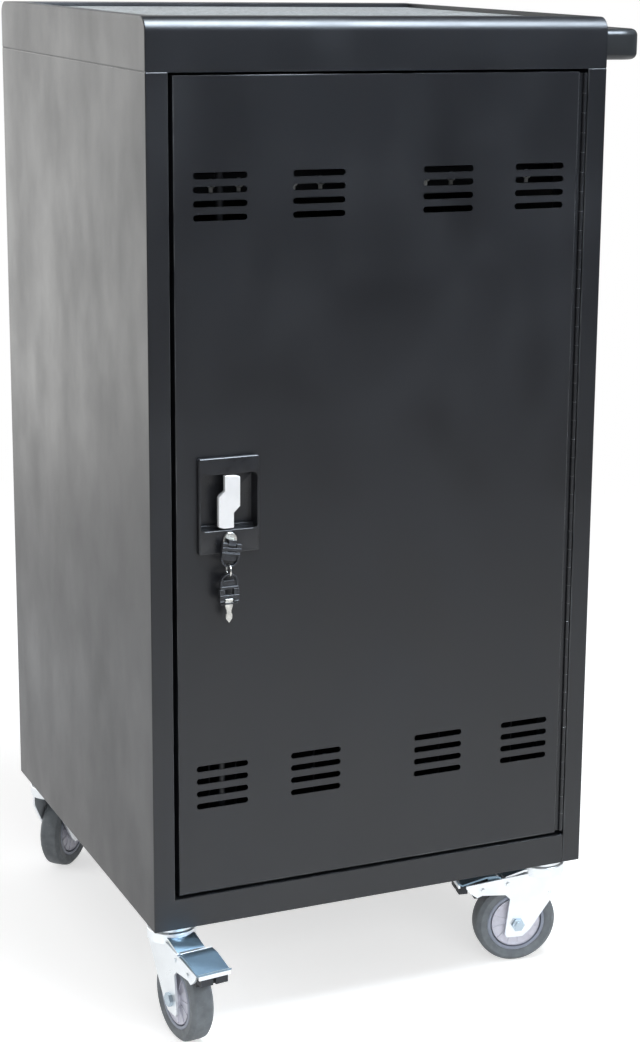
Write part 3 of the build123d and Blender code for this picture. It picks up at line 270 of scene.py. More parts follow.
def hub_ring_plastic(look):
    """The darker blue-grey ring that binds the tyre to the wheel centre."""
    return surface("hub_ring_plastic", look.hub_ring, toned(look.hub_ring, 0.85), roughness=(0.3, 0.45),
                   lumps_mm=(8, 0.6), relief_mm=0.006)[0]


def brake_rubber(look):
    """Black block of the brake: matt and pitted."""
    return surface("brake_rubber", look.nylon, toned(look.nylon, 2.0), roughness=(0.55, 0.75),
                   lumps_mm=(5, 0.6), relief_mm=0.02)[0]


def flecked_mat(look):
    """Calendered rubber mat with fine pale flecks; its grey is painted paler than the dark rubber, a painted sheen
    for its glare.
    """
    material, tree, shader, place = surface("flecked_mat", look.mat, toned(look.mat, 0.42),
                                            roughness=(0.42, 0.56), lumps_mm=(5.2, 2.0), relief_mm=0.05)
    # flecks of about 2.5 mm in cells of 6.5 mm, coarser than the real grains so that they still show
    cells = add_node(tree, "ShaderNodeTexVoronoi", {"Scale": 1 / (6.5 * MM), "Randomness": 1.0},
                     {"Vector": place}).outputs["Distance"]
    flecks = add_node(tree, "ShaderNodeMapRange", {"From Min": 0.12, "From Max": 0.3, "To Min": 0.8,
                      "To Max": 0.0}, {"Value": cells}).outputs[0]
    base = shader.inputs["Base Color"].links[0].from_socket
    dotted = add_node(tree, "ShaderNodeMix", {"data_type": "RGBA", 7: (*look.fleck, 1)}, {0: flecks, 6: base})
    tree.links.new(dotted.outputs[2], shader.inputs["Base Color"])
    return material


FINISHES = {
    "cabinet_paint": powder_coat, "paint_edge": powder_coat_edge, "worn_edge": worn_edge,
    "inner_paint": inner_powder_coat,
    "zinc": zinc_plate, "hinge_steel": powder_coat, "dish_plastic": glass_filled_nylon,
    "lever_metal": satin_chrome, "lock_metal": nickel_plate, "key_metal": nickel_plate,
    "bow_plastic": key_plastic, "handle_plastic": handle_plastic, "mat_rubber": flecked_mat,
    "divider_plastic": bay_plastic, "ring_plastic": ring_plastic, "strip_plastic": bay_plastic,
    "switch_plastic": rocker_plastic, "tyre_grey": tread_rubber, "hub_plastic": hub_plastic,
    "hub_ring": hub_ring_plastic, "brake_metal": blue_zinc_plate, "brake_rubber": brake_rubber,
    "nut_metal": pale_zinc_plate,
}
made = {}


def finish(slot):
    """The material of a slot, made once."""
    maker = FINISHES[slot]
    if maker not in made:
        made[maker] = maker(bpy.context.scene.cart)
    return made[maker]


# ---- making pieces -------------------------------------------------------------------------
def body_of(node):
    """The body that a frame node belongs to."""
    return next(body for body, members in bodies.items() if node in members)


def place_piece(piece, body, slot, replaced=(), finishes=None):
    """Ride a new piece on its body, give it its finish and let it stand for frame nodes."""
    for name in finishes or (slot,):
        piece.data.materials.append(finish(name))
    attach(piece, body)
    if replaced:
        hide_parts(*replaced)


def piece_from(bm, name):
    """A new object from a bmesh, smooth except at its corners."""
    mesh = bpy.data.meshes.new(name)
    bm.to_mesh(mesh)
    bm.free()
    mesh.polygons.foreach_set("use_smooth", [True] * len(mesh.polygons))
    mesh.set_sharp_from_angle(angle=SMOOTH)
    piece = bpy.data.objects.new(name, mesh)
    bpy.context.scene.collection.objects.link(piece)
    return piece


def merged_copy(node):
    """A bmesh of a frame node with its loose triangles joined and its flat areas made whole."""
    bm = bmesh.new()
    bm.from_mesh(nodes[node].data)
    bmesh.ops.remove_doubles(bm, verts=bm.verts, dist=WELD)
    bmesh.ops.dissolve_limit(bm, angle_limit=FLAT, verts=bm.verts, edges=bm.edges)
    return bm


def loose_parts(bm):
    """The faces of each part of a mesh that isn't joined to the others, largest part first."""
    left, parts = set(bm.faces), []
    while left:
        part = [left.pop()]
        for face in part:
            joined = {other for edge in face.edges for other in edge.link_faces} & left
            left -= joined
            part.extend(joined)
        parts.append(part)
    return sorted(parts, key=len, reverse=True)


def round_corners(piece, round_mm, segments):
    """Round the corners of a piece with a live bevel."""
    edge = piece.modifiers.new("Rounded corners", "BEVEL")
    edge.width = round_mm * MM
    edge.segments = segments
    edge.limit_method = "ANGLE"
    edge.angle_limit = CORNER
    edge.use_clamp_overlap = True
    edge.harden_normals = True
    return edge


def eased(node, round_mm, segments=2, finishes=None, works=(), weigh=None):
    """Stand a copy with rounded corners in for a frame node.

    finishes are the slots of its materials, and a last one whose name ends in _edge goes on the rounding.
    works are functions that rework its bmesh in turn, and weigh gives each edge its share of the rounding.
    """
    bm = merged_copy(node)
    for work in works:
        work(bm)
    if weigh:
        weight = bm.edges.layers.float.new("bevel_weight_edge")
        for line in bm.edges:
            line[weight] = weigh(line) if line.calc_face_angle(0.0) > CORNER else 0.0
    piece = piece_from(bm, node + "_formed")
    place_piece(piece, body_of(node), slots[node], (node,), finishes)
    edge = round_corners(piece, round_mm, segments)
    if weigh:
        edge.limit_method = "WEIGHT"
    if finishes and finishes[-1].endswith("_edge"):
        edge.material = len(finishes) - 1


def add_block(bm, low, high, turn, finish_index=0):
    """Add a block between two corners in mm, placed by a matrix in metres."""
    size = [(b - a) * MM for a, b in zip(low, high)]
    middle = Vector([(a + b) / 2 * MM for a, b in zip(low, high)])
    matrix = turn @ Matrix.Translation(middle) @ Matrix.Diagonal((*size, 1))
    made_verts = bmesh.ops.create_cube(bm, size=1.0, matrix=matrix)["verts"]
    for face in {f for v in made_verts for f in v.link_faces}:
        face.material_index = finish_index


def add_bar(bm, start, end, radius, turn, finish_index=0):
    """Add a round bar between two points in mm, placed by a matrix in metres."""
    a, b = turn @ (Vector(start) * MM), turn @ (Vector(end) * MM)
    lie = Vector((0, 0, 1)).rotation_difference(b - a).to_matrix().to_4x4()
    made_verts = bmesh.ops.create_cone(bm, cap_ends=True, segments=BAR_SIDES, radius1=radius * MM,
                                       radius2=radius * MM, depth=(b - a).length,
                                       matrix=Matrix.Translation((a + b) / 2) @ lie)["verts"]
    for face in {f for v in made_verts for f in v.link_faces}:
        face.material_index = finish_index


def tongue(half, near, far, radius):
    """A closed outline in mm: straight at its near end, rounded at its far end."""
    arc = [(half - radius + radius * cos(a), far - radius + radius * sin(a))
           for a in (i * pi / 2 / ARC_STEPS for i in range(ARC_STEPS + 1))]
    return [(half, near)] + arc + [(-u, w) for u, w in reversed(arc)] + [(-half, near)]


def add_rim(bm, outer, inner, low, high, turn):
    """Add a flat frame between two outlines of as many points, from one depth to another in mm."""
    loops = []
    for points, depth in ((outer, low), (inner, low), (outer, high), (inner, high)):
        ring = [bm.verts.new(turn @ (Vector((u, depth, w)) * MM)) for u, w in points]
        loops.append([bm.edges.new(pair) for pair in zip(ring, ring[1:] + ring[:1])])
    for a, b in ((0, 1), (2, 3), (0, 2), (1, 3)):
        bmesh.ops.bridge_loops(bm, edges=loops[a] + loops[b])


def frame_of(origin, across, along):
    """A matrix whose axes are across, towards the back and along."""
    back = Vector(along).cross(Vector(across))
    return Matrix.Translation(origin) @ Matrix((Vector(across), back, Vector(along))).transposed().to_4x4()


def turned(profile_mm, centre, axis):
    """Spin a profile of radius and height about an axis through a centre; closed and outward."""
    bm = bmesh.new()
    rim = [bm.verts.new((r * MM, 0, h * MM)) for r, h in profile_mm]
    for a, b in zip(rim, rim[1:] + rim[:1]):
        bm.edges.new((a, b))
    bmesh.ops.spin(bm, geom=bm.verts[:] + bm.edges[:], cent=(0, 0, 0), axis=(0, 0, 1), dvec=(0, 0, 0),
                   angle=2 * pi, steps=WHEEL_STEPS, use_merge=True, use_duplicate=False)
    bmesh.ops.remove_doubles(bm, verts=bm.verts, dist=SPUN_WELD)
    bmesh.ops.recalc_face_normals(bm, faces=bm.faces)
    turn = Vector((0, 0, 1)).rotation_difference(Vector(axis)).to_matrix().to_4x4()
    bmesh.ops.transform(bm, matrix=Matrix.Translation(centre) @ turn, verts=bm.verts)
    return bm


# ---- operators: the cabinet ----------------------------------------------------------------
class CART_OT_cabinet(bpy.types.Operator):
    """Ease the folded sheet edges of the cabinet's panels and give them their powder coat"""

    bl_idname = "cart.cabinet"
    bl_label = "Cabinet panels"

    def split_stile(self, bm):
        """Split the left stile's edges level with the top of the front rail."""
        rail_top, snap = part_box("base_pan")[1].z, 0.0001 * MM
        bmesh.ops.bisect_plane(bm, geom=bm.verts[:] + bm.edges[:] + bm.faces[:], dist=snap,
                               plane_co=(0, 0, rail_top), plane_no=(0, 0, 1))

    def open_edge(self, line):
        """No rounding in the tight upright joint of the front rail and the left stile, and all elsewhere."""
        stile_width, door_lap, stile_depth, upright_rise = 15 * MM, 3 * MM, 4 * MM, 2 * MM
        middle = (line.verts[0].co + line.verts[1].co) / 2
        side, door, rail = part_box("left_side_panel")[0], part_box("front_door")[0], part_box("base_pan")[1]
        beside = side.x + stile_width < middle.x < door.x + door_lap
        upright = abs(line.verts[0].co.z - line.verts[1].co.z) > upright_rise
        at_front = middle.y < side.y + stile_depth
        return float(not (beside and upright and at_front and middle.z < rail.z))

    def execute(self, context):
        fold = context.scene.cart.fold_radius / MM
        # the second finish goes on the rounded folds: a much paler coat that is a painted highlight along each
        # edge
        both = ("cabinet_paint", "paint_edge")
        for node in ("right_side_panel", "top_cover"):
            eased(node, fold, segments=3, finishes=both)
        eased("left_side_panel", fold, segments=3, finishes=both, works=(self.split_stile,),
              weigh=self.open_edge)
        eased("base_pan", fold, segments=3, finishes=both, weigh=self.open_edge)
        for node in ("lower_shelf", "upper_shelf", "partition_panel", "inner_top_panel"):
            eased(node, round_mm=0.3)
        for tier in ("lower", "upper"):
            eased("adapter_shelf_" + tier, round_mm=0.3)
            eased(tier + "_dividers", round_mm=0.5)
        return {"FINISHED"}


class CART_OT_doors(bpy.types.Operator):
    """Ease the pressed edges of both doors, and finish their hinge leaves and pins"""

    bl_idname = "cart.doors"
    bl_label = "Doors and hinges"

    def pressed_edge(self, line):
        """The rounding on the outline of a door's outer face; its punched holes stay crisp."""
        low, high = self.box
        at_outline = 0.1 * MM
        inside = [min(v.co.x - low.x, high.x - v.co.x, v.co.z - low.z, high.z - v.co.z) for v in line.verts]
        depth = [abs(v.co.y - self.face) for v in line.verts]
        return float(max(inside + depth) < at_outline)

    def knuckle_end(self, line):
        """The rounding at the ends of a hinge's knuckles, which shows where one stops and the next begins."""
        start, end = (v.co for v in line.verts)
        wall = 1.5 * MM
        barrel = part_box("hinge_pin")[1].y + wall
        return float(abs(start.z - end.z) < LEVEL and max(start.y, end.y) < barrel)

    def execute(self, context):
        fold = context.scene.cart.door_radius / MM
        for node in ("front_door", "rear_door"):
            self.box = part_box(node)
            self.face = max((corner.y for corner in self.box), key=abs)
            # the rounding on each door's outline takes the paler edge coat, a painted highlight
            eased(node, fold, segments=3, finishes=("cabinet_paint", "paint_edge"), weigh=self.pressed_edge)
        for node in ("hinge_frame_leaf", "hinge_door_leaf"):
            # the rounded ends of the knuckles take a pale, half-metallic steel colour that shows as small glints
            eased(node, round_mm=0.45, finishes=(slots[node], "worn_edge"), weigh=self.knuckle_end)
        for node in ("hinge_pin", "rear_door_pins"):
            eased(node, round_mm=0.2)
        return {"FINISHED"}


class CART_OT_tray(bpy.types.Operator):
    """Lay the flecked mat in the tray"""

    bl_idname = "cart.tray"
    bl_label = "Tray mat"

    def execute(self, context):
        eased("top_mat", round_mm=0.6, segments=3)
        return {"FINISHED"}


class CART_OT_handle(bpy.types.Operator):
    """Finish the push handle and the screws that hold it"""

    bl_idname = "cart.handle"
    bl_label = "Push handle"

    def execute(self, context):
        eased("side_handle", round_mm=0.6)
        eased("handle_screws", round_mm=0.4)
        return {"FINISHED"}


class CART_OT_power(bpy.types.Operator):
    """Finish the power strips, their rockers, the mains inlet and the bars and rings for the leads"""

    bl_idname = "cart.power"
    bl_label = "Power and leads"

    def execute(self, context):
        for tier in ("lower", "upper"):
            eased("power_strip_" + tier, round_mm=0.4)
            eased("strip_switch_" + tier, round_mm=0.5, segments=3)
        eased("power_inlet", round_mm=0.4)
        eased("cable_rails", round_mm=0.5)
        eased("cable_rings", round_mm=0.3)
        return {"FINISHED"}


class CART_OT_lock(bpy.types.Operator):
    """Finish the lock dish, the turn handle, the latch behind it and the rear lock"""

    bl_idname = "cart.lock"
    bl_label = "Lock and latch"

    def moulded_edges(self, bm):
        """Round the face plate and the sill of the recess more than the rest, and add its inner step."""
        low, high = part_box("lock_dish")
        rim_width, sill_length, sill_slant, square = 1.2 * MM, 40 * MM, 0.1 * MM, 1.0
        rim_round, sill_round = 1.5 * MM, 1.4 * MM
        rim, sills = [], []
        for line in bm.edges:
            start, end = (v.co for v in line.verts)
            if max(abs(start.y - low.y), abs(end.y - low.y)) >= LEVEL or line.calc_face_angle(0.0) <= square:
                continue
            middle = (start + end) / 2
            if min(middle.x - low.x, high.x - middle.x, middle.z - low.z, high.z - middle.z) < rim_width:
                rim.append(line)
            elif line.calc_length() > sill_length and abs(start.z - end.z) < sill_slant:
                sills.append(line)
        sill = min(sills, key=lambda line: line.verts[0].co.z)
        # the step stands on the floor of the recess, near its back, and is as wide as the recess
        turn = Matrix.Translation(((low.x + high.x) / 2, low.y, sill.verts[0].co.z))
        for lines, size in ((rim, rim_round), ([sill], sill_round)):
            bmesh.ops.bevel(bm, geom=lines, offset=size, offset_type="OFFSET", affect="EDGES", segments=4,
                            profile=0.5, material=-1, clamp_overlap=True)
        add_block(bm, (-29.9, 12.2, -0.3), (29.9, 17.3, 2.6), turn)

    def execute(self, context):
        eased("lock_dish", round_mm=0.5, segments=3, works=(self.moulded_edges,))
        eased("turn_handle", round_mm=0.5, segments=3)
        eased("lock_core", round_mm=0.3)
        for node in ("latch_cam", "latch_rod_upper", "latch_rod_lower", "rod_guides", "lock_rotor",
                     "rear_lock_core", "rear_lock_cam"):
            eased(node, round_mm=0.25)
        return {"FINISHED"}


class CART_OT_keys(bpy.types.Operator):
    """Finish both keys and the ring that joins them"""

    bl_idname = "cart.keys"
    bl_label = "Keys"

    def moulded_root(self, bm):
        """Give the root of the blade, outside the lock, the plastic of its bow."""
        root_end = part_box("lock_core")[0].y - 0.5 * MM
        for face in bm.faces:
            face.material_index = int(face.calc_center_median().y < root_end)

    def collar(self, bm):
        """The moulded collar across the root of the folding blade."""
        turn = frame_of(joints["spare_blade_fold"]["pos_m"], (1, 0, 0), (0, 0, 1))
        add_block(bm, (-9.2, -1.9, -4.6), (9.2, 1.4, -3.1), turn, 1)

    def bow(self, node, turn, height):
        """A hollow moulded bow: cheeks and a bar at its hinge, a rim around its window and ring hole.

        Its sizes are in mm: across, through its thickness, and up from its hinge; height is its length.
        """
        bm = bmesh.new()
        end = height - 2.2
        sill = end - 16.0
        outer = tongue(half=9.6, near=sill, far=end, radius=8.6)
        inner = tongue(half=7.2, near=sill + 3.4, far=end - 1.7, radius=6.6)
        add_rim(bm, outer, inner, -2.5, 2.5, turn)
        # the web that closes the window up to the ring hole
        add_block(bm, (-7.6, -1.3, sill + 3), (7.6, 1.3, end - 6.6), turn)
        for side in (-1, 1):
            cheek = sorted((side * 4.5, side * 10.4))
            add_block(bm, (cheek[0], -2.5, -2.1), (cheek[1], 2.5, sill + 0.4), turn)
            lip = sorted((side * 4.7, side * 10.5))
            add_block(bm, (lip[0], -2.9, -2.2), (lip[1], 2.2, -0.5), turn)
        # the ridge across the cheeks, the ridge at the foot of the rim, and the bar that the key folds on
        add_block(bm, (-10.4, -3.2, 2.1), (10.4, 2.4, 5.6), turn)
        add_block(bm, (-9.8, -2.9, sill + 1.2), (9.8, 2.3, sill + 3.2), turn)
        add_bar(bm, (-8.5, 0, 0), (8.5, 0, 0), 1.0, turn)
        bmesh.ops.recalc_face_normals(bm, faces=bm.faces)
        piece = piece_from(bm, node + "_moulded")
        place_piece(piece, body_of(node), "bow_plastic", (node,))
        round_corners(piece, round_mm=0.7, segments=3)

    def execute(self, context):
        fold = joints["key_bow_fold"]
        down = Vector(fold["axis"]).cross(Vector((0, 1, 0)))
        self.bow("lock_key_bow", frame_of(fold["pos_m"], fold["axis"], down), height=24.5)
        fold = joints["spare_blade_fold"]
        self.bow("spare_key_bow", frame_of(fold["pos_m"], (1, 0, 0), (0, 0, 1)), height=29.5)
        both = ("key_metal", "bow_plastic")
        eased("lock_key", round_mm=0.25, finishes=both, works=(self.moulded_root,))
        eased("spare_key_blade", round_mm=0.3, finishes=both, works=(self.collar,))
        eased("key_ring", round_mm=0.1)
        return {"FINISHED"}


# ---- operators: the casters ----------------------------------------------------------------
class CART_OT_casters(bpy.types.Operator):
    """Ease the pressed forks, races, nuts and brake levers of the casters"""

    bl_idname = "cart.casters"
    bl_label = "Caster metalwork"

    def turn(self):
        """The caster's own axes: along its trail, across, and up from the cabinet's underside."""
        axle_drop = 77 * MM
        spin = joints["wheel_spin_" + self.corner]
        stem = Vector(joints["swivel_" + self.corner]["pos_m"])
        along = Vector(spin["pos_m"]) - stem
        along.z = 0
        along.normalize()
        stem.z = spin["pos_m"][2] + axle_drop
        across = Vector((0, 0, 1)).cross(along)
        return Matrix.Translation(stem) @ Matrix((along, across, Vector((0, 0, 1)))).transposed().to_4x4()

    def nuts_and_painted_web_reflection(self, bm):
        """Clear plating for the axle nuts; the web's upward faces under the brake lever get blue plating as a
        painted reflection.
        """
        bolt = max(loose_parts(bm)[1:], key=lambda part: sum(face.calc_area() for face in part))
        for face in bolt:
            face.material_index = 2
        here = self.turn().inverted()
        web_start, web_end, web_half, web_drop, upwards = 20, 47, 14, -23, 0.5
        for face in bm.faces:
            at = (here @ face.calc_center_median()) / MM
            on_web = web_start < at.x < web_end and abs(at.y) < web_half and at.z > web_drop
            # only the faces that look up get the blue: a painted reflection on the fork's own zinc
            if on_web and face.normal.z > upwards:
                face.material_index = 1

    def block_part(self, bm):
        """Black rubber for the block over the tyre, the lower of the lever's parts."""
        lowest = min(loose_parts(bm), key=lambda part: min(v.co.z for f in part for v in f.verts))
        for face in lowest:
            face.material_index = 1

    def rolled_edges(self, bm):
        """A rolled bead where the lever starts, a turned lip at its end, rubber feet below; bead and lip in pale
        zinc, a painted highlight.
        """
        turn = self.turn()
        rubber, bright = 1, 2
        bead_half, bead_radius, lip_half = 17.6, 1.5, 17.8
        # the bead and the lip are given the pale zinc: a painted highlight on the lever's rounded edges
        add_bar(bm, (56.8, -bead_half, -16.9), (56.8, bead_half, -16.9), bead_radius, turn, bright)
        add_block(bm, (99.4, -lip_half, -27.2), (101.6, lip_half, -21.4), turn, bright)
        for side in (-1, 1):
            foot = sorted((side * 1.6, side * 15.2))
            add_block(bm, (90.0, foot[0], -35.5), (100.2, foot[1], -26.5), turn, rubber)

    def execute(self, context):
        eased("caster_stems", round_mm=0.5)
        eased("caster_nuts", round_mm=0.5)
        for corner in CORNERS:
            self.corner = corner
            eased("fork_" + corner, round_mm=0.6, segments=3, finishes=("zinc", "brake_metal", "nut_metal"),
                  works=(self.nuts_and_painted_web_reflection,))
        for corner in BRAKED:
            self.corner = corner
            eased("brake_pedal_" + corner, round_mm=0.6, segments=3,
                  finishes=("brake_metal", "brake_rubber", "zinc"),
                  works=(self.block_part, self.rolled_edges))
        return {"FINISHED"}


class CART_OT_wheels(bpy.types.Operator):
    """Turn the tyres and wheel centres"""

    bl_idname = "cart.wheels"
    bl_label = "Wheels"

    def sort_hub(self, bm, spin):
        """Give the outer band of a wheel centre its own plastic, and add its fan of ribs."""
        band_radius = 28.4 * MM
        ribs, rib_start, rib_end, rib_half, rib_foot, rib_top = 12, 10.0, 27.2, 0.7, 8.6, 10.0
        centre, axis = Vector(spin["pos_m"]), Vector(spin["axis"])
        for face in bm.faces:
            arm = face.calc_center_median() - centre
            face.material_index = int((arm - arm.dot(axis) * axis).length > band_radius)
        place = Matrix.Translation(centre) @ Vector((0, 0, 1)).rotation_difference(axis).to_matrix().to_4x4()
        for i in range(ribs):
            rib = place @ Matrix.Rotation(i * 2 * pi / ribs, 4, "Z")
            for side in (-1, 1):
                foot, top = sorted((side * rib_foot, side * rib_top))
                add_block(bm, (rib_start, -rib_half, foot), (rib_end, rib_half, top), rib)

    def execute(self, context):
        low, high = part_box("tyre_front_left")
        radius = (high.z - low.z) / 2 / MM
        half = context.scene.cart.wheel_width / MM / 2
        for corner in CORNERS:
            spin = joints["wheel_spin_" + corner]
            body = "wheel_" + corner
            # one side of each profile as radius and height in mm, mirrored for the other side
            tread = [(33.6, -10.9), (35.0, -11.6), (38.6, -12.2), (41.4, -half + 0.2), (43.4, -half + 1.6),
                     (radius - 0.5, -half + 4.0), (radius, -half + 7.5)]
            tread += [(r, -h) for r, h in reversed(tread)]
            tyre = piece_from(turned(tread, spin["pos_m"], spin["axis"]), "tyre_tread_" + corner)
            place_piece(tyre, body, "tyre_grey", ("tyre_" + corner,))
            centre = [(4.1, 14.2), (8.4, 14.2), (9.0, 13.6), (9.2, 10.4), (11.5, 9.2), (26.6, 8.9),
                      (27.6, 9.4), (28.3, 10.8), (28.5, 3.5), (29.7, 3.5), (29.9, 10.9), (30.6, 11.3),
                      (33.0, 11.3), (33.5, 10.7)]
            centre += [(r, -h) for r, h in reversed(centre)]
            bm = turned(centre, spin["pos_m"], spin["axis"])
            self.sort_hub(bm, spin)
            hub = piece_from(bm, "wheel_centre_" + corner)
            place_piece(hub, body, "hub_plastic", ("wheel_hub_" + corner,), ("hub_plastic", "hub_ring"))
        return {"FINISHED"}


# ---- operator: the stage -------------------------------------------------------------------
PAPER = "#E7E7E7"
FLOOR_RADIUS, FADE_START, FADE_END = 2.6, 0.7, 2.3      # metres from the middle of the floor
BACKDROP = (-0.57, 0.82, 0.03)          # the way to the bright cyclorama that gloss mirrors
CEILING = (0.36, -0.52, 0.775)          # the way to the bright panel above the cart's front right
COOL, WARM = (0.86, 0.95, 1.12, 1), (1.0, 1.0, 0.985, 1)
PANEL_TINT = (0.8, 0.92, 1.06, 1)
WHITE = (1, 1, 1)
# each lamp's name, place and target in metres, width in metres, power in watts, tint, and whether it
# shows in gloss: the two big ones only fill the shade, as gloss mirrors the surroundings instead
LAMPS = (("Overhead lamp", (0.4, -0.9, 3.2), (0, 0, 0.8), 1.0, 60, (0.86, 0.94, 1.0), True),
         ("Left lamp", (-3.4, 0.4, 1.7), (0, 0, 0.45), 2.6, 38, WHITE, False),
         ("Front lamp", (-0.2, -3.8, 1.4), (0, 0, 0.45), 2.6, 68, WHITE, False))
# the camera's turns in degrees, its lens in mm, its shifts as shares of the sensor, and its place in
# metres from the middle of the cabinet's foot
YAW, PITCH, ROLL = 25.27, 13.40, 0.93
SENSOR, FOCAL_LENGTH = 36, 77.70
SHIFT_X, SHIFT_Y = -0.0875, -0.0378
CAMERA_PLACE = Vector((-0.9342, -2.3060, 0.9951))
HALF_CABINET = 0.25
FAR_CLIP = 60


def soft_light(name, place, target, size, power, tint, mirrored):
    """A large square lamp aimed at a point."""
    lamp = bpy.data.lights.new(name, "AREA")
    lamp.shape = "SQUARE"
    lamp.size = size
    lamp.energy = power
    lamp.color = tint
    holder = bpy.data.objects.new(name, lamp)
    holder.location = place
    aim = Vector(target) - Vector(place)
    holder.rotation_euler = aim.to_track_quat("-Z", "Y").to_euler()
    holder.visible_glossy = mirrored
    bpy.context.scene.collection.objects.link(holder)


class CART_OT_stage(bpy.types.Operator):
    """Set up the pale floor, the soft studio light and the camera"""

    bl_idname = "cart.stage"
    bl_label = "Studio"

    def execute(self, context):
        scene = context.scene
        scene.view_settings.view_transform = "Standard"
        self.floor()
        self.surroundings(scene)
        for lamp in LAMPS:
            soft_light(*lamp)
        self.camera(scene)
        return {"FINISHED"}

    def floor(self):
        """A wide pale floor that shows as white, keeps the shadow and is clear from below."""
        bm = bmesh.new()
        bmesh.ops.create_circle(bm, cap_ends=True, segments=64, radius=FLOOR_RADIUS)
        mesh = bpy.data.meshes.new("Studio floor")
        bm.to_mesh(mesh)
        bm.free()
        plane = bpy.data.objects.new("Studio_floor", mesh)
        bpy.context.scene.collection.objects.link(plane)
        material, tree, shader = new_material("studio_paper")
        shader.inputs["Base Color"].default_value = (*linear(PAPER), 1)
        shader.inputs["Roughness"].default_value = 0.9
        shader.inputs["Specular IOR Level"].default_value = 0.0
        rays = add_node(tree, "ShaderNodeLightPath")
        place = add_node(tree, "ShaderNodeTexCoord").outputs["Object"]
        reach = add_node(tree, "ShaderNodeVectorMath", {"operation": "LENGTH"}, {0: place}).outputs["Value"]
        away = add_node(tree, "ShaderNodeMapRange", {"interpolation_type": "SMOOTHSTEP",
                        "From Min": FADE_START, "From Max": FADE_END}, {"Value": reach}).outputs[0]
        mirrored = add_node(tree, "ShaderNodeMath", {"operation": "MAXIMUM"},
                            {0: rays.outputs["Is Glossy Ray"], 1: rays.outputs["Is Transmission Ray"]})
        looked = add_node(tree, "ShaderNodeMath", {"operation": "MAXIMUM"},
                          {0: mirrored.outputs[0], 1: rays.outputs["Is Camera Ray"]})
        glow = add_node(tree, "ShaderNodeEmission", {"Strength": 0.55})
        lit = add_node(tree, "ShaderNodeAddShader", links={0: shader.outputs[0], 1: glow.outputs[0]})
        paper = add_node(tree, "ShaderNodeEmission", {"Strength": 1.0})
        faded = add_node(tree, "ShaderNodeMixShader", links={0: away, 1: lit.outputs[0], 2: paper.outputs[0]})
        seen = add_node(tree, "ShaderNodeMixShader",
                        links={0: looked.outputs[0], 1: shader.outputs[0], 2: faded.outputs[0]})
        below = add_node(tree, "ShaderNodeNewGeometry").outputs["Backfacing"]
        clear = add_node(tree, "ShaderNodeBsdfTransparent")
        sided = add_node(tree, "ShaderNodeMixShader",
                         links={0: below, 1: seen.outputs[0], 2: clear.outputs[0]})
        tree.links.new(sided.outputs[0], tree.nodes["Material Output"].inputs["Surface"])
        mesh.materials.append(material)

    def surroundings(self, scene):
        """A white cyclorama behind the cart and a dim room before it, as gloss mirrors them."""
        world = bpy.data.worlds.new("Studio")
        scene.world = world
        world.use_nodes = True
        tree = world.node_tree
        tree.nodes.clear()
        rays = add_node(tree, "ShaderNodeLightPath")
        towards = add_node(tree, "ShaderNodeTexCoord").outputs["Generated"]
        behind = add_node(tree, "ShaderNodeVectorMath", {"operation": "DOT_PRODUCT", 1: BACKDROP},
                          {0: towards})
        mirrored = add_node(tree, "ShaderNodeMapRange", {"interpolation_type": "SMOOTHSTEP",
                            "From Min": 0.42, "From Max": 0.95, "To Min": 0.15, "To Max": 2.1},
                            {"Value": behind.outputs["Value"]})
        across = add_node(tree, "ShaderNodeMapRange", {"From Min": -0.5, "From Max": 0.5},
                          {"Value": behind.outputs["Value"]})
        tint = add_node(tree, "ShaderNodeMix", {"data_type": "RGBA", 6: COOL, 7: WARM},
                        {0: across.outputs[0]}).outputs[2]
        fill = add_node(tree, "ShaderNodeBackground", {"Color": (*WHITE, 1), "Strength": 0.42})
        gloss = add_node(tree, "ShaderNodeBackground", links={"Color": tint, "Strength": mirrored.outputs[0]})
        white = add_node(tree, "ShaderNodeBackground", {"Color": (*WHITE, 1), "Strength": 1.0})
        above = add_node(tree, "ShaderNodeVectorMath", {"operation": "DOT_PRODUCT", 1: CEILING},
                         {0: towards})
        panel = add_node(tree, "ShaderNodeMapRange", {"interpolation_type": "SMOOTHSTEP", "From Min": 0.925,
                         "From Max": 0.985, "To Min": 0.0, "To Max": 38.0}, {"Value": above.outputs["Value"]})
        ceiling = add_node(tree, "ShaderNodeBackground", {"Color": PANEL_TINT},
                           {"Strength": panel.outputs[0]})
        lamps = add_node(tree, "ShaderNodeAddShader", links={0: gloss.outputs[0], 1: ceiling.outputs[0]})
        first = add_node(tree, "ShaderNodeMixShader",
                         links={0: rays.outputs["Is Glossy Ray"], 1: fill.outputs[0], 2: lamps.outputs[0]})
        seen = add_node(tree, "ShaderNodeMath", {"operation": "MAXIMUM"},
                        {0: rays.outputs["Is Camera Ray"], 1: rays.outputs["Is Transmission Ray"]})
        both = add_node(tree, "ShaderNodeMixShader",
                        links={0: seen.outputs[0], 1: first.outputs[0], 2: white.outputs[0]})
        add_node(tree, "ShaderNodeOutputWorld", links={"Surface": both.outputs[0]})

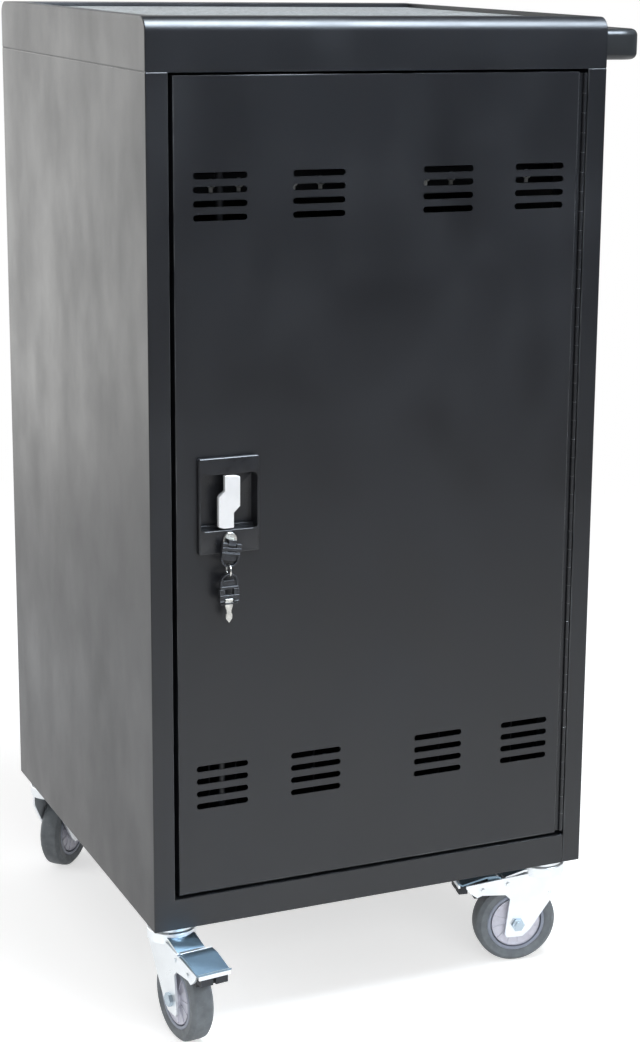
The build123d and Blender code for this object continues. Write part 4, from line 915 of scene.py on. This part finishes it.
    def camera(self, scene):
        """The camera, a little above the cart's middle and to the left of its front."""
        yaw, pitch, roll = radians(YAW), radians(PITCH), radians(ROLL)
        ahead = Vector((sin(yaw) * cos(pitch), cos(yaw) * cos(pitch), -sin(pitch)))
        across = Vector((cos(yaw), -sin(yaw), 0))
        over = across.cross(ahead)
        side = cos(roll) * across + sin(roll) * over
        up = -sin(roll) * across + cos(roll) * over
        lens = bpy.data.cameras.new("Cart camera")
        lens.sensor_width = SENSOR
        lens.lens = FOCAL_LENGTH
        lens.shift_x = SHIFT_X
        lens.shift_y = SHIFT_Y
        lens.clip_end = FAR_CLIP
        holder = bpy.data.objects.new("Cart camera", lens)
        turn = Matrix((side, up, -ahead)).transposed()
        low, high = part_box("left_side_panel")
        foot = Vector((low.x + HALF_CABINET, (low.y + high.y) / 2, low.z))
        holder.matrix_world = Matrix.Translation(foot + CAMERA_PLACE) @ turn.to_4x4()
        scene.collection.objects.link(holder)
        scene.camera = holder


# ---- settings and panel --------------------------------------------------------------------
def size_setting(name, about, default):
    """A length that a user may change."""
    return bpy.props.FloatProperty(name=name, description=about, default=default, min=0.0,
                                   subtype="DISTANCE", unit="LENGTH")


def colour_setting(name, about, hex_colour):
    """A colour that a user may change."""
    return bpy.props.FloatVectorProperty(name=name, description=about, default=linear(hex_colour), size=3,
                                         min=0.0, max=1.0, subtype="COLOR")


class CartSettings(bpy.types.PropertyGroup):
    """Sizes and colours of the cart's finishes"""

    fold_radius: size_setting("Fold radius", "Outer radius of the folded sheet edges", 0.0009)
    door_radius: size_setting("Door edge radius", "Outer radius of a door's pressed edges", 0.0017)
    wheel_width: size_setting("Wheel width", "Width of the tyres", 0.026)
    paint: colour_setting("Paint", "Powder coat of the cabinet", "#151619")
    # the paler colour of the rounded folds: a painted highlight along the edges, where the powder is also a little
    # thinner
    paint_edge: colour_setting("Paint edge", "Powder coat where it is thin", "#4A4C4E")
    # the pale steel colour on the rounded ends of the hinge knuckles, which shows as small glints
    knuckle_steel: colour_setting("Bare steel", "Steel where the hinge has rubbed", "#C3C6C8")
    zinc: colour_setting("Zinc", "Plating of the casters", "#EEF2F5")
    pedal: colour_setting("Brake lever", "Plating of the brake levers", "#7C93A3")
    nut: colour_setting("Nut", "Plating of the axle nuts", "#B9C8D3")
    chrome: colour_setting("Chrome", "Plating of the turn handle", "#E8E9EB")
    nickel: colour_setting("Nickel", "Plating of the lock and keys", "#D9D8D3")
    nylon: colour_setting("Nylon", "Lock dish and key bows", "#1B1C1F")
    grip: colour_setting("Grip", "Push handle", "#26282A")
    bay: colour_setting("Bay plastic", "Dividers and power strips", "#222325")
    ring: colour_setting("Ring plastic", "Cable rings", "#C9CBCB")
    rocker: colour_setting("Rocker", "Power switches", "#B3201A")
    tyre: colour_setting("Tyre", "Tread of the wheels", "#6B7074")
    dust: colour_setting("Dust", "Dust on the tread", "#A9ABAC")
    hub: colour_setting("Wheel centre", "Middle of the wheels", "#D3D3DE")
    hub_ring: colour_setting("Wheel ring", "Ring beside the tyre", "#8A909E")
    # the tray mat's grey, paler than the dark rubber: a painted sheen for the glare across it
    mat: colour_setting("Mat", "Tray mat", "#A8AAAA")
    fleck: colour_setting("Fleck", "Flecks of the tray mat", "#B9BABA")


OPERATORS = (CART_OT_cabinet, CART_OT_doors, CART_OT_tray, CART_OT_handle, CART_OT_power, CART_OT_lock,
             CART_OT_keys, CART_OT_casters, CART_OT_wheels, CART_OT_stage)


class CART_PT_sidebar(bpy.types.Panel):
    """The cart's pieces and settings"""

    bl_idname = "CART_PT_sidebar"
    bl_label = "Laptop charging cart"
    bl_space_type = "VIEW_3D"
    bl_region_type = "UI"
    bl_category = "Cart"

    def draw(self, context):
        for setting in CartSettings.__annotations__:
            self.layout.prop(context.scene.cart, setting)
        for operator in OPERATORS:
            self.layout.operator(operator.bl_idname)


CLASSES = (CartSettings, *OPERATORS, CART_PT_sidebar)


def register():
    """Register the classes and the scene's settings."""
    for cls in CLASSES:
        bpy.utils.register_class(cls)
    bpy.types.Scene.cart = bpy.props.PointerProperty(type=CartSettings)


def unregister():
    """Remove the settings and the classes."""
    del bpy.types.Scene.cart
    for cls in reversed(CLASSES):
        bpy.utils.unregister_class(cls)


def main():
    """Build every piece in order."""
    register()
    for operator in OPERATORS:
        getattr(bpy.ops.cart, operator.bl_idname.split(".")[1])()


if __name__ == "__main__":
    main()
